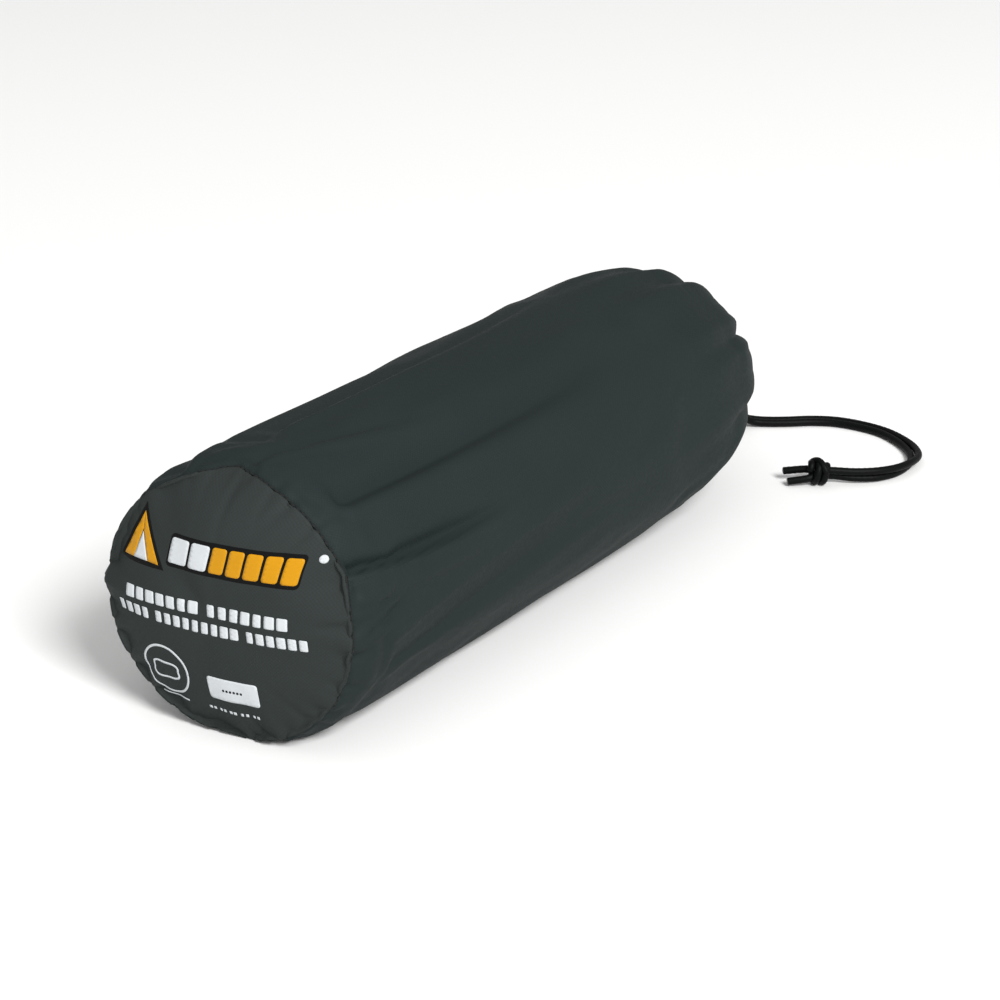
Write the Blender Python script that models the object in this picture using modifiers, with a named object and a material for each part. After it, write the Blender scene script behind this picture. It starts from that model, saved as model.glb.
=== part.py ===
# Camp pillow, deflated, rolled up and packed in its drawstring sack.
# Metres, +Z up. The sack lies on its underside along X: base panel at -X, drawn mouth at +X.
# The origin is under the middle of the sack, on the surface that it lies on.
import math

import bmesh
import bpy
from mathutils import Matrix, Vector

# Pillow, as rolled
rolled_width = 0.355        # along the roll, with the welded edges folded in
film = 0.0005               # coated shell fabric
foam_thick = 0.015          # foam with the air pressed out
weld_flange = 0.007
edge_slope = 0.005          # where a shell comes in from the foam's face to the weld
core_hole = 0.006
mouth_end_reach = 0.050     # how far back the closing mouth narrows the roll
base_end_scale = 0.93
base_end_reach = 0.026
void_angle = math.radians(60)   # where the pad's outer edge leaves a hollow beside it

# Sack
body_radius = 0.070
seam_draw = 0.004           # how much narrower the base seam holds the sack
shoulder_swell = 0.001      # how much wider the sack is at its shoulder
underside_sag = 0.005       # how much of the round body its weight flattens
base_crown = 0.013          # how far the round base panel bulges
mouth_depth = 0.103         # shoulder to the drawn mouth
roll_into_mouth = 0.045     # how far the roll reaches past the shoulder
seam_draw_reach = 0.020     # length over which the base seam narrows the body
base_skew = -0.14           # lean of the base seam along X for each metre across Y
skew_reach = 0.14           # how far along the body that lean fades out
fabric = 0.0008
binding_width = 0.0065      # tape over the raw edges inside the base seam
binding_thick = 0.0014

# Drawcord and drawn mouth
cord_diameter = 0.0044
mouth_ring_radius = 0.012   # centre line of the cord inside the gathered casing
casing_play = 0.0016        # space around the cord inside the casing
fall_angle = math.radians(42)   # how steeply the cords leave the mouth
run_end_height = 0.0155         # where their straight run, on which the lock slides, ends

# Cord lock
barrel_radius = 0.0072
barrel_wall = 0.0017
pinch_travel = 0.004
slot_end_wall = 0.0018      # plunger left beyond its slot
knob_radius = 0.0063
knob_length = 0.0040
spring_wire = 0.0007

# Valve
valve_turn = math.radians(197)
neck_radius = 0.005
neck_length = 0.0125
neck_wall = 0.002
flange_width = 0.004
flange_thick = 0.0014
cap_wall = 0.0022
seal_wire = 0.0009

# Fits
gap = 0.0003                # between pieces that touch
bore_clearance = 0.0004     # radial, plunger in barrel
wrap_gap = 0.0012           # between two wraps of the rolled pad
roll_end_gap = 0.005        # base seam to the roll
cap_clearance = 0.0008      # valve cap to the sack
lock_clearance = 0.0006     # cord lock to the gathered mouth

# Facets
around = 40
samples_per_turn = 20

# Worked out from the sizes above
base_radius = body_radius - seam_draw
shoulder_radius = body_radius + shoulder_swell
axis_height = body_radius - underside_sag
cord_radius = cord_diameter / 2
casing_bore = cord_radius + casing_play
casing_radius = casing_bore + fabric
seam_to_shoulder = roll_end_gap + rolled_width - roll_into_mouth
lean_share = math.sqrt(abs(base_skew) * base_radius / (3 * base_crown))
base_reach = base_crown * (1 - lean_share ** 3) + abs(base_skew) * base_radius * lean_share + gap
sack_length = base_reach + seam_to_shoulder + mouth_depth + 2 * casing_radius + gap
seam_x = -sack_length / 2 + base_reach
shoulder_x = seam_x + seam_to_shoulder
mouth_x = shoulder_x + mouth_depth
ring_x = mouth_x + gap + casing_radius
ring_bottom = Vector((ring_x, 0, axis_height - mouth_ring_radius))
pair_offset = (cord_diameter + gap) / 2
fall = Vector((math.cos(fall_angle), 0, -math.sin(fall_angle)))
lock_middle = ring_bottom + fall * (casing_radius + lock_clearance + barrel_radius)
straight_run = (ring_bottom.z - run_end_height) / math.sin(fall_angle)
run_end = ring_bottom + fall * straight_run

# Middle line of the two cords beyond their straight run: X from the end of that run, Y, Z and
# how far the pair rolls over, in degrees, from lying side by side to one on the other.
pair_route = [
    (0.0077, 0.0000, 0.0092, 0),
    (0.0139, -0.0020, 0.0048, 0),
    (0.0189, -0.0066, 0.0028, 0),
    (0.0239, -0.0140, 0.0024, 0),
    (0.0299, -0.0222, 0.0024, 0),
    (0.0385, -0.0325, 0.0024, 0),
    (0.0451, -0.0450, 0.0024, 0),
    (0.0475, -0.0600, 0.0024, 0),
    (0.0461, -0.0765, 0.0024, 0),
    (0.0391, -0.0915, 0.0026, 5),
    (0.0298, -0.1031, 0.0029, 15),
    (0.0181, -0.1112, 0.0035, 30),
    (0.0050, -0.1140, 0.0042, 50),
    (-0.0083, -0.1122, 0.0045, 65),
    (-0.0200, -0.1060, 0.0048, 75),
    (-0.0288, -0.0968, 0.0053, 70),
    (-0.0345, -0.0885, 0.0062, 60),
]
knot_middle = run_end + Vector((-0.0407, -0.0797, 0.0070 - run_end_height))
# Each cut end leaves the knot this way and reaches this far from its middle.
cut_ends = [
    (Vector((-0.20, 0.97, 0.10)), Vector((-0.0070, 0.0185, -0.0010))),
    (Vector((-0.85, 0.42, -0.32)), Vector((-0.0125, 0.0125, -0.0043))),
]
knot_size = (3.3 * cord_diameter, 3.2 * cord_diameter, 3.05 * cord_diameter)

for thing in list(bpy.data.objects):
    bpy.data.objects.remove(thing)

pillow = bpy.data.collections.new("camp_pillow")
cutters = bpy.data.collections.new("cutters")
bpy.context.scene.collection.children.link(pillow)
bpy.context.scene.collection.children.link(cutters)


# helpers
def make_material(name, colour, roughness, metallic=0.0):
    material = bpy.data.materials.new(name)
    material.use_nodes = True
    shader = material.node_tree.nodes["Principled BSDF"]
    shader.inputs["Base Color"].default_value = (*colour, 1)
    shader.inputs["Roughness"].default_value = roughness
    shader.inputs["Metallic"].default_value = metallic
    material.diffuse_color = (*colour, 1)
    return material


def add_object(name, data, material, place=(0, 0, 0)):
    thing = bpy.data.objects.new(name, data)
    thing.location = place
    thing.data.materials.append(material)
    pillow.objects.link(thing)
    return thing


def add_cutter(name, mesh, matrix):
    cutter = bpy.data.objects.new(name, mesh)
    cutter.matrix_world = matrix
    cutter.hide_render = True
    cutter.display_type = "WIRE"
    cutters.objects.link(cutter)
    return cutter


def cut(thing, cutter):
    boolean = thing.modifiers.new("cut", "BOOLEAN")
    boolean.operation = "DIFFERENCE"
    boolean.object = cutter


def box_mesh(name, size, middle=(0, 0, 0), rounding=0.0):
    shape = bmesh.new()
    bmesh.ops.create_cube(shape, size=1)
    bmesh.ops.scale(shape, vec=size, verts=shape.verts)
    bmesh.ops.translate(shape, vec=middle, verts=shape.verts)
    if rounding:
        bmesh.ops.bevel(shape, geom=shape.edges[:], offset=rounding, segments=2,
                        affect="EDGES", profile=0.5)
    mesh = bpy.data.meshes.new(name)
    shape.to_mesh(mesh)
    shape.free()
    return mesh


def freeze(thing, weld=1e-6):
    # Turns the object and its modifiers into one plain closed mesh that faces out.
    depsgraph = bpy.context.evaluated_depsgraph_get()
    mesh = bpy.data.meshes.new_from_object(thing.evaluated_get(depsgraph))
    shape = bmesh.new()
    shape.from_mesh(mesh)
    bmesh.ops.remove_doubles(shape, verts=shape.verts, dist=weld)
    bmesh.ops.dissolve_degenerate(shape, edges=shape.edges, dist=weld)
    bmesh.ops.recalc_face_normals(shape, faces=shape.faces)
    shape.to_mesh(mesh)
    shape.free()
    thing.modifiers.clear()
    thing.data = mesh
    mesh.shade_smooth()
    mesh.set_sharp_from_angle(angle=math.radians(35))
    return thing


def turned(name, outline, material, axis="X", place=(0, 0, 0), steps=around):
    # A closed outline of (along, radius) points, turned about the axis.
    points = []
    for along, radius in outline:
        points.append((along, radius, 0) if axis == "X" else (radius, along, 0))
    count = len(points)
    mesh = bpy.data.meshes.new(name)
    mesh.from_pydata(points, [(i, (i + 1) % count) for i in range(count)], [])
    thing = add_object(name, mesh, material, place)
    screw = thing.modifiers.new("turn", "SCREW")
    screw.axis = axis
    screw.steps = steps
    screw.render_steps = steps
    screw.use_merge_vertices = True
    screw.merge_threshold = 1e-6
    return freeze(thing)


def tube(name, points, radius, material, resolution=2):
    curve = bpy.data.curves.new(name, "CURVE")
    curve.dimensions = "3D"
    curve.bevel_depth = radius
    curve.bevel_resolution = resolution
    curve.use_fill_caps = True
    spline = curve.splines.new("POLY")
    spline.points.add(len(points) - 1)
    for target, point in zip(spline.points, points):
        target.co = (*point, 1)
    return add_object(name, curve, material)


def smooth_line(knots, spacing):
    # Points about one spacing apart on a smooth curve through the knots.
    padded = [knots[0] * 2 - knots[1], *knots, knots[-1] * 2 - knots[-2]]
    line = []
    for i in range(1, len(padded) - 2):
        before, start, end, after = padded[i - 1:i + 3]
        count = max(1, round((end - start).length / spacing))
        for step in range(count):
            t = step / count
            line.append(0.5 * (2 * start + (end - before) * t
                               + (2 * before - 5 * start + 4 * end - after) * t ** 2
                               + (3 * start - before - 3 * end + after) * t ** 3))
    line.append(knots[-1])
    return line


def offset_outline(line, distance):
    # The same line moved sideways, to the right of its direction.
    moved = []
    for i, (along, radius) in enumerate(line):
        before = line[max(i - 1, 0)]
        after = line[min(i + 1, len(line) - 1)]
        direction = Vector((after[0] - before[0], after[1] - before[1])).normalized()
        moved.append((along + direction.y * distance, radius - direction.x * distance))
    return moved


# the sack's shape
def sack_radius(x):
    along = min(max(x - seam_x, 0), seam_to_shoulder)
    rise = min(along / seam_draw_reach, 1)
    radius = base_radius + (body_radius - base_radius) * rise * (2 - rise)
    share = max(0, (along - seam_draw_reach) / (seam_to_shoulder - seam_draw_reach))
    return radius + (shoulder_radius - body_radius) * share


def lie_on_floor(thing):
    # Flattens what hangs below the underside and leans the base end over.
    for vertex in thing.data.vertices:
        x, y, z = thing.matrix_world @ vertex.co
        radius = math.hypot(y, z - axis_height)
        if z < axis_height and radius > 0:
            steepness = (axis_height - z) / radius
            flattened = min(1, axis_height / (sack_radius(x) * steepness))
            squash = 1 - (1 - flattened) * min(radius / sack_radius(x), 1) ** 2
            y *= squash
            z = axis_height + (z - axis_height) * squash
        fade = min(max(1 - (x - seam_x) / skew_reach, 0), 1)
        vertex.co = thing.matrix_world.inverted() @ Vector((x + base_skew * y * fade, y, z))
    return thing


def make_sack_body(material):
    outer = []
    for along in (0, 0.006, 0.013, 0.022, 0.05, 0.10, 0.16, 0.23, seam_to_shoulder):
        outer.append((seam_x + along, sack_radius(seam_x + along)))
    steps = 9
    for i in range(1, steps + 1):
        turn = math.pi / 2 * i / steps
        reach = shoulder_radius - mouth_ring_radius
        outer.append((shoulder_x + mouth_depth * math.sin(turn),
                      mouth_ring_radius + reach * math.cos(turn)))
    inner = offset_outline(outer, fabric)
    thing = turned("sack_body", outer + inner[::-1], material, place=(0, 0, axis_height))
    bpy.context.view_layer.update()
    return lie_on_floor(thing)


def make_base_panel(material):
    outer = []
    for share in (0, 0.3, 0.55, 0.75, 0.9, 1):
        outer.append((seam_x - gap - base_crown * (1 - share ** 3), base_radius * share))
    inner = [(along + fabric, radius) for along, radius in outer]
    inner[-1] = (outer[-1][0], base_radius - fabric)
    inner[-2] = (outer[-2][0] + fabric * 0.9, outer[-2][1] - fabric * 0.5)
    outline = outer + inner[::-1]
    thing = turned("sack_base_panel", outline, material, place=(0, 0, axis_height))
    bpy.context.view_layer.update()
    return lie_on_floor(thing)


def make_binding(material):
    top = base_radius - fabric - gap * 1.5
    near = seam_x + gap
    far = near + binding_thick
    low = top - binding_width
    outline = [(near, low), (far, low), (far, top), (near, top)]
    thing = turned("base_seam_binding", outline, material, place=(0, 0, axis_height))
    bpy.context.view_layer.update()
    return lie_on_floor(thing)


# the rolled pillow
stack = foam_thick + 2 * (gap + film)
pitch = stack + wrap_gap
roll_outer = body_radius - fabric - gap * 1.5
first_radius = stack / 2 + core_hole
last_radius = roll_outer - stack / 2
turns = (last_radius - first_radius) / pitch
end_angle = -math.pi / 2
roll_start = seam_x + roll_end_gap
roll_end = roll_start + rolled_width


def fill_step(behind, radius):
    # Soft foam fills the step beside the pad's outer edge: how much a point this far behind
    # that edge, as an angle, moves out.
    rim = roll_outer - pitch * behind / (2 * math.pi)
    swell = (roll_outer / rim - 1) * min(radius / rim, 1)
    return 1 + swell * min((2 * math.pi - behind) / void_angle, 1)


# The valve stands on the middle of the pad's outer wrap, and the end of the roll narrows
# until the cap clears the closing mouth.
cap_radius = neck_radius + gap + cap_wall
valve_length = neck_length + gap + cap_wall
valve_behind = (end_angle - valve_turn) % (2 * math.pi)
wrap_middle = last_radius - pitch * valve_behind / (2 * math.pi)
wrap_middle *= fill_step(valve_behind, wrap_middle)
cap_end = (roll_end + gap + valve_length - shoulder_x) / mouth_depth
room = mouth_ring_radius + (shoulder_radius - mouth_ring_radius) * math.sqrt(1 - max(cap_end, 0) ** 2)
mouth_end_scale = min((room - fabric - cap_clearance - cap_radius) / wrap_middle, 1)
valve_offset = wrap_middle * mouth_end_scale


def rolled_sheet(name, thickness, lift, material, trim=0.0, close_edges=True):
    # A sheet wound with the pad, its middle this far out from the pad's middle surface.
    # Near its edges a shell comes in to the pad's middle, where the two shells are welded.
    count = int(turns * samples_per_turn)
    columns = [0, weld_flange, weld_flange + edge_slope, base_end_reach,
               rolled_width - mouth_end_reach, rolled_width - 0.034, rolled_width - 0.020,
               rolled_width - weld_flange - edge_slope, rolled_width - weld_flange, rolled_width]
    if trim:
        columns = [trim] + [c for c in columns if trim < c < rolled_width - trim] + [rolled_width - trim]
    first, last = (2, count - 2) if trim else (0, count)
    grid = []
    for i in range(first, last + 1):
        turn = turns - (count - i) / samples_per_turn
        angle = end_angle + 2 * math.pi * (turn - turns)
        radius = first_radius + pitch * turn
        out = Vector((0, math.cos(angle), math.sin(angle)))
        along = Vector((0, -math.sin(angle), math.cos(angle)))
        normal = (out * radius - along * pitch / (2 * math.pi)).normalized()
        row = []
        for column in columns:
            edge = min(column, rolled_width - column)
            share = min(max((edge - weld_flange) / edge_slope, 0), 1)
            if i in (0, count):
                share = 0
            weld_lift = math.copysign(thickness / 2 + gap / 2, lift)
            height = weld_lift + (lift - weld_lift) * share if close_edges else lift
            point = out * radius + normal * height
            point.x = roll_start + column
            row.append(point)
        grid.append(row)
    shape = bmesh.new()
    grid = [[shape.verts.new(point) for point in row] for row in grid]
    for low, high in zip(grid, grid[1:]):
        for j in range(len(columns) - 1):
            shape.faces.new((low[j], low[j + 1], high[j + 1], high[j]))
    mesh = bpy.data.meshes.new(name)
    shape.to_mesh(mesh)
    shape.free()
    thing = add_object(name, mesh, material, (0, 0, axis_height))
    solid = thing.modifiers.new("thickness", "SOLIDIFY")
    solid.thickness = thickness
    solid.offset = 0
    freeze(thing)
    bpy.context.view_layer.update()
    round_the_roll(thing)
    return lie_on_floor(thing)


def round_the_roll(thing):
    # Rounds the roll's outline and narrows both its ends.
    for vertex in thing.data.vertices:
        x, y, z = vertex.co
        behind = (end_angle - math.atan2(z, y)) % (2 * math.pi)
        base_share = min((x - roll_start) / base_end_reach, 1)
        mouth_share = min((roll_end - x) / mouth_end_reach, 1)
        scale = fill_step(behind, math.hypot(y, z))
        scale *= 1 - (1 - base_end_scale) * (1 - base_share) ** 2
        scale *= 1 - (1 - mouth_end_scale) * (1 - mouth_share) ** 2
        vertex.co = (x, y * scale, z * scale)


# the valve
valve_place = Vector((roll_end + gap, valve_offset * math.cos(valve_turn),
                      axis_height + valve_offset * math.sin(valve_turn)))
seal_middle = flange_thick + gap + seal_wire


def make_valve(body_material, cap_material, seal_material):
    bore = neck_radius - neck_wall
    flange_radius = neck_radius + flange_width
    body = [(0, bore), (0, flange_radius), (flange_thick, flange_radius),
            (flange_thick, neck_radius), (neck_length, neck_radius), (neck_length, bore)]
    turned("valve_body", body, body_material, place=valve_place, steps=24)
    cap_bore = neck_radius + gap
    rim = flange_thick + 2 * gap + 2 * seal_wire
    inside = neck_length + gap
    top = inside + cap_wall
    lip = cap_wall / 3
    cap = [(rim, cap_bore), (rim, cap_radius), (top - lip, cap_radius), (top, cap_radius - lip),
           (top, 0), (inside, 0), (inside, cap_bore)]
    turned("valve_cap", cap, cap_material, place=valve_place, steps=24)
    ring_radius = neck_radius + gap + seal_wire
    seal = []
    for i in range(8):
        turn = 2 * math.pi * i / 8
        seal.append((seal_middle + seal_wire * math.cos(turn), ring_radius + seal_wire * math.sin(turn)))
    turned("valve_seal", seal, seal_material, place=valve_place, steps=24)


# the drawn mouth
def make_casing(material):
    outline = []
    for radius in (casing_radius, casing_bore):
        ring = []
        for i in range(8):
            turn = 2 * math.pi * i / 8
            ring.append((radius * math.cos(turn), mouth_ring_radius + radius * math.sin(turn)))
        outline.append(ring)
    casing = turned("mouth_casing", outline[0], material, place=(ring_x, 0, axis_height), steps=28)
    hollow = turned("casing_hollow", outline[1], material, steps=28)
    pillow.objects.unlink(hollow)
    hollow_cutter = add_cutter("hollow", hollow.data, Matrix.Translation((ring_x, 0, axis_height)))
    bpy.data.objects.remove(hollow)
    cut(casing, hollow_cutter)
    width = 2 * (pair_offset + cord_radius) + 4 * gap
    exit_size = (2 * casing_radius, width, cord_diameter + 4 * gap)
    exit_mesh = box_mesh("exit", exit_size, (casing_radius, 0, 0))
    turn = Matrix.Rotation(fall_angle, 4, "Y")
    cut(casing, add_cutter("exit", exit_mesh, Matrix.Translation(ring_bottom) @ turn))
    return casing


ring_gap_angle = math.radians(42)   # from the ring's lowest point to where each cord turns out


def ring_point(angle):
    return Vector((ring_x, mouth_ring_radius * math.sin(angle),
                   axis_height - mouth_ring_radius * math.cos(angle)))


def make_drawcord(material):
    count = 24
    span = 2 * (math.pi - ring_gap_angle)
    ring = [ring_point(ring_gap_angle + span * i / count) for i in range(count + 1)]
    tube("drawcord_ring", ring, cord_radius, material)
    for side, letter in ((1, "a"), (-1, "b")):
        knots = [ring_point(side * (ring_gap_angle - 3 * gap / mouth_ring_radius)),
                 ring_point(side * ring_gap_angle * 0.62),
                 ring_bottom + Vector((0.0008, side * 0.0034, 0.0003))]
        lateral = Vector((0, side * pair_offset, 0))
        start = 0.0045
        for i in range(5):
            knots.append(ring_bottom + fall * (start + (straight_run - start) * i / 4) + lateral)
        middles = [Vector((run_end.x + x, y, z)) for x, y, z, _ in pair_route]
        into_knot = (knot_middle - middles[-1]).normalized()
        middles.append(knot_middle - into_knot * (max(knot_size) / 2 + gap))
        rolls = [point[3] for point in pair_route] + [pair_route[-1][3]]
        before = run_end
        for i, middle in enumerate(middles):
            heading = middles[min(i + 1, len(middles) - 1)] - before
            before = middle
            level = Vector((0, 0, 1)).cross(heading).normalized()
            up = heading.normalized().cross(level)
            turn = math.radians(rolls[i])
            knots.append(middle + (level * math.cos(turn) + up * math.sin(turn)) * side * pair_offset)
        line = smooth_line(knots, 0.0100)
        tube(f"drawcord_strand_{letter}", line, cord_radius, material)


def make_knot(material):
    shape = bmesh.new()
    bmesh.ops.create_uvsphere(shape, u_segments=16, v_segments=10, radius=0.5)
    bmesh.ops.scale(shape, vec=knot_size, verts=shape.verts)
    mesh = bpy.data.meshes.new("drawcord_knot")
    shape.to_mesh(mesh)
    shape.free()
    mesh.shade_smooth()
    add_object("drawcord_knot", mesh, material, knot_middle)
    for (way, tip), letter in zip(cut_ends, "ab"):
        way = way.normalized()
        surface = 0.5 / math.sqrt(sum((part / size) ** 2 for part, size in zip(way, knot_size)))
        start = knot_middle + way * (surface + gap)
        line = smooth_line([start, start + way * cord_radius, knot_middle + tip], cord_radius)
        tube(f"drawcord_end_{letter}", line, cord_radius, material)


# the cord lock
slot_length = 2 * (pair_offset + cord_radius) + 2 * gap
slot_width = cord_diameter + 2 * gap
slot_half = slot_length / 2
bore_radius = barrel_radius - barrel_wall
plunger_radius = bore_radius - bore_clearance
plunger_foot = -slot_half - slot_end_wall
barrel_floor = plunger_foot - pinch_travel - 5 * spring_wire
barrel_rim = slot_half + pinch_travel + slot_end_wall
knob_seat = barrel_rim + pinch_travel + gap


def place_on_cord(thing):
    thing.rotation_euler = (0, fall_angle, 0)
    thing.location = lock_middle
    return thing


def make_cord_lock(shell_material, plunger_material, spring_material):
    round_edge = 0.0008
    low = barrel_floor - barrel_wall
    barrel_outline = [(low, 0), (low, barrel_radius - round_edge), (low + round_edge, barrel_radius),
                      (barrel_rim, barrel_radius), (barrel_rim, bore_radius),
                      (barrel_floor, bore_radius), (barrel_floor, 0)]
    barrel = place_on_cord(turned("cord_lock_barrel", barrel_outline, shell_material, "Y", steps=24))
    plunger_outline = [(plunger_foot, 0), (plunger_foot, plunger_radius), (knob_seat, plunger_radius),
                       (knob_seat, knob_radius), (knob_seat + knob_length - round_edge, knob_radius),
                       (knob_seat + knob_length, knob_radius - round_edge), (knob_seat + knob_length, 0)]
    plunger = place_on_cord(turned("cord_lock_plunger", plunger_outline, plunger_material, "Y", steps=24))
    bpy.context.view_layer.update()
    size = (4 * barrel_radius, slot_length + pinch_travel, slot_width)
    barrel_slot = box_mesh("barrel_slot", size, (0, -pinch_travel / 2, 0))
    plunger_slot = box_mesh("plunger_slot", size, (0, pinch_travel / 2, 0))
    cut(barrel, add_cutter("barrel_slot", barrel_slot, barrel.matrix_world))
    cut(plunger, add_cutter("plunger_slot", plunger_slot, plunger.matrix_world))
    coils = 3
    steps = 12
    rise = plunger_foot - barrel_floor - spring_wire - 2 * gap
    coil_radius = bore_radius - bore_clearance - spring_wire / 2
    points = []
    for i in range(coils * steps + 1):
        turn = 2 * math.pi * i / steps
        height = barrel_floor + gap + spring_wire / 2 + rise * i / (coils * steps)
        points.append((coil_radius * math.cos(turn), height, coil_radius * math.sin(turn)))
    place_on_cord(tube("cord_lock_spring", points, spring_wire / 2, spring_material, 1))


charcoal = make_material("charcoal_polyester", (0.028, 0.037, 0.037), 0.6)
charcoal_base = make_material("charcoal_polyester_base", (0.042, 0.051, 0.050), 0.6)
tape = make_material("binding_tape", (0.02, 0.02, 0.022), 0.8)
black_cord = make_material("black_braided_cord", (0.006, 0.006, 0.006), 0.8)
lock_plastic = make_material("black_lock_plastic", (0.012, 0.012, 0.012), 0.4)
button_plastic = make_material("grey_button_plastic", (0.03, 0.03, 0.032), 0.4)
steel = make_material("spring_steel", (0.55, 0.55, 0.55), 0.3, 1)
pillow_top = make_material("pillow_top_fabric", (0.10, 0.11, 0.115), 0.85)
pillow_under = make_material("pillow_under_fabric", (0.03, 0.04, 0.045), 0.7)
foam = make_material("open_cell_foam", (0.80, 0.76, 0.62), 0.95)
valve_plastic = make_material("black_valve_plastic", (0.01, 0.01, 0.01), 0.35)
rubber = make_material("black_rubber", (0.008, 0.008, 0.008), 0.7)

make_sack_body(charcoal)
make_base_panel(charcoal_base)
make_binding(tape)
make_casing(charcoal)
shell_lift = foam_thick / 2 + gap + film / 2
rolled_sheet("foam_core", foam_thick, 0, foam, trim=weld_flange + edge_slope + 3 * gap, close_edges=False)
rolled_sheet("pillow_top_shell", film, -shell_lift, pillow_top)
rolled_sheet("pillow_under_shell", film, shell_lift, pillow_under)
make_valve(valve_plastic, valve_plastic, rubber)
make_drawcord(black_cord)
make_knot(black_cord)
make_cord_lock(lock_plastic, button_plastic, steel)
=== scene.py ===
import math

import bmesh
import bpy
import numpy as np
from mathutils import Matrix, Vector
from mathutils.bvhtree import BVHTree


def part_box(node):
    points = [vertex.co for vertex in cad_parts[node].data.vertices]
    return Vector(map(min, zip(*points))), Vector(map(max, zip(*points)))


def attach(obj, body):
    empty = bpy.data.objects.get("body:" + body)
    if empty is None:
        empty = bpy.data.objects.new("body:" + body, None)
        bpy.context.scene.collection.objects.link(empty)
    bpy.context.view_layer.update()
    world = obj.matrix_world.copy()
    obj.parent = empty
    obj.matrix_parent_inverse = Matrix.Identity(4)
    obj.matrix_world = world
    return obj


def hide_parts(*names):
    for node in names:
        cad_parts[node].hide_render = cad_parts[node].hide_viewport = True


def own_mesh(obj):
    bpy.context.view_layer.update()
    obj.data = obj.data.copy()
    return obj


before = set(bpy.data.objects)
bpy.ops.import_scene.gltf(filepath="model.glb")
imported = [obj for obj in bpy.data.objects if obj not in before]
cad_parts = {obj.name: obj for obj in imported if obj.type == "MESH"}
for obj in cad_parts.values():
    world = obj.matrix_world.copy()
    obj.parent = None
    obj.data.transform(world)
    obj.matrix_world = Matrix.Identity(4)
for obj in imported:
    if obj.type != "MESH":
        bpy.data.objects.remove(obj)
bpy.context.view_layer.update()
print("frame loaded:", len(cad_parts), "nodes")


# small tools

def hexColour(text, alpha=1.0):
    parts = [int(text[i:i + 2], 16) / 255 for i in (1, 3, 5)]
    linear = [p / 12.92 if p <= 0.04045 else ((p + 0.055) / 1.055) ** 2.4 for p in parts]
    return (*linear, alpha)


def shade(text, factor):
    return (*(part * factor for part in hexColour(text)[:3]), 1.0)


def addNode(tree, kind, settings=None, links=None):
    # links: input name or number -> a value, an output socket, or (node, output name)
    node = tree.nodes.new(kind)
    for name, value in (settings or {}).items():
        setattr(node, name, value)
    for name, value in (links or {}).items():
        socket = node.inputs[name]
        if isinstance(value, tuple) and isinstance(value[0], bpy.types.Node):
            tree.links.new(value[0].outputs[value[1]], socket)
        elif isinstance(value, bpy.types.NodeSocket):
            tree.links.new(value, socket)
        else:
            socket.default_value = value
    return node


def emptyMaterial(name):
    material = bpy.data.materials.new(name)
    material.use_nodes = True
    tree = material.node_tree
    tree.nodes.clear()
    output = tree.nodes.new("ShaderNodeOutputMaterial")
    return material, tree, output


def smoothStep(low, high, value):
    share = np.clip((value - low) / (high - low), 0, 1)
    return share * share * (3 - 2 * share)


def waves(angle, seed, low, high):
    # Smooth closed noise round the sack, about -1 to 1, made of whole waves low..high.
    draw = np.random.RandomState(seed)
    total = np.zeros_like(angle)
    power = 0.0
    for count in range(low, high + 1):
        size = draw.uniform(0.5, 1.0)
        total = total + size * np.cos(count * angle + draw.uniform(0, 2 * math.pi))
        power += size * size / 2
    return total / math.sqrt(power) / 1.6


def linkObject(name, mesh, materials):
    piece = bpy.data.objects.new(name, mesh)
    bpy.context.scene.collection.objects.link(piece)
    for material in materials:
        mesh.materials.append(material)
    mesh.shade_smooth()
    return piece


def meshFrom(name, points, faces, uv=None):
    mesh = bpy.data.meshes.new(name)
    mesh.from_pydata([tuple(p) for p in points], [], faces)
    if uv is not None:
        layer = mesh.uv_layers.new(name="clothUV")
        layer.data.foreach_set("uv", np.asarray(uv, np.float32).ravel())
    mesh.update()
    return mesh


def applyModifiers(piece):
    depsgraph = bpy.context.evaluated_depsgraph_get()
    mesh = bpy.data.meshes.new_from_object(piece.evaluated_get(depsgraph))
    piece.modifiers.clear()
    piece.data = mesh
    return piece


# camera

camera = {
    "azimuth": -55.635,      # degrees, 0 looks along +Y
    "elevation": 23.053,
    "distance": 1.4227,
    "target": (-0.0177, -0.0218, 0.0588),
    "lens": 100.8,           # mm on a 36 mm sensor
}


def makeCamera():
    turn, lift = math.radians(camera["azimuth"]), math.radians(camera["elevation"])
    level = math.cos(lift)
    back = Vector((math.sin(turn) * level, -math.cos(turn) * level, math.sin(lift)))
    data = bpy.data.cameras.new("viewCamera")
    data.lens = camera["lens"]
    data.sensor_width = 36
    eye = bpy.data.objects.new("viewCamera", data)
    eye.location = Vector(camera["target"]) + back * camera["distance"]
    eye.rotation_mode = "QUATERNION"
    eye.rotation_quaternion = (-back).to_track_quat("-Z", "Y")
    bpy.context.scene.collection.objects.link(eye)
    bpy.context.scene.camera = eye


makeCamera()


# places taken from the frame

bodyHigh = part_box("sack_body")[1]
casingLow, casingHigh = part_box("mouth_casing")
place = {
    "shoulderRadius": bodyHigh.y,
    "axisHeight": bodyHigh.z - bodyHigh.y,
    "mouthX": bodyHigh.x,
    "mouthDepth": 0.103,        # shoulder to mouth
    "bodyLength": 0.315,        # seam to shoulder
    "bodyRadius": 0.070,
    "baseRadius": 0.066,
    "baseCrown": 0.013,
    "seamDrawReach": 0.020,
    "ringRadius": 0.012,        # drawcord loop in its casing
    "casingRadius": 0.0046,
    "lean": -0.14,              # base seam's lean along X for each metre of Y
    "leanReach": 0.14,          # the lean has faded out this far from the seam
}
place["shoulderX"] = place["mouthX"] - place["mouthDepth"]
place["seamX"] = place["shoulderX"] - place["bodyLength"]
place["ringX"] = (casingLow.x + casingHigh.x) / 2


# materials

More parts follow.
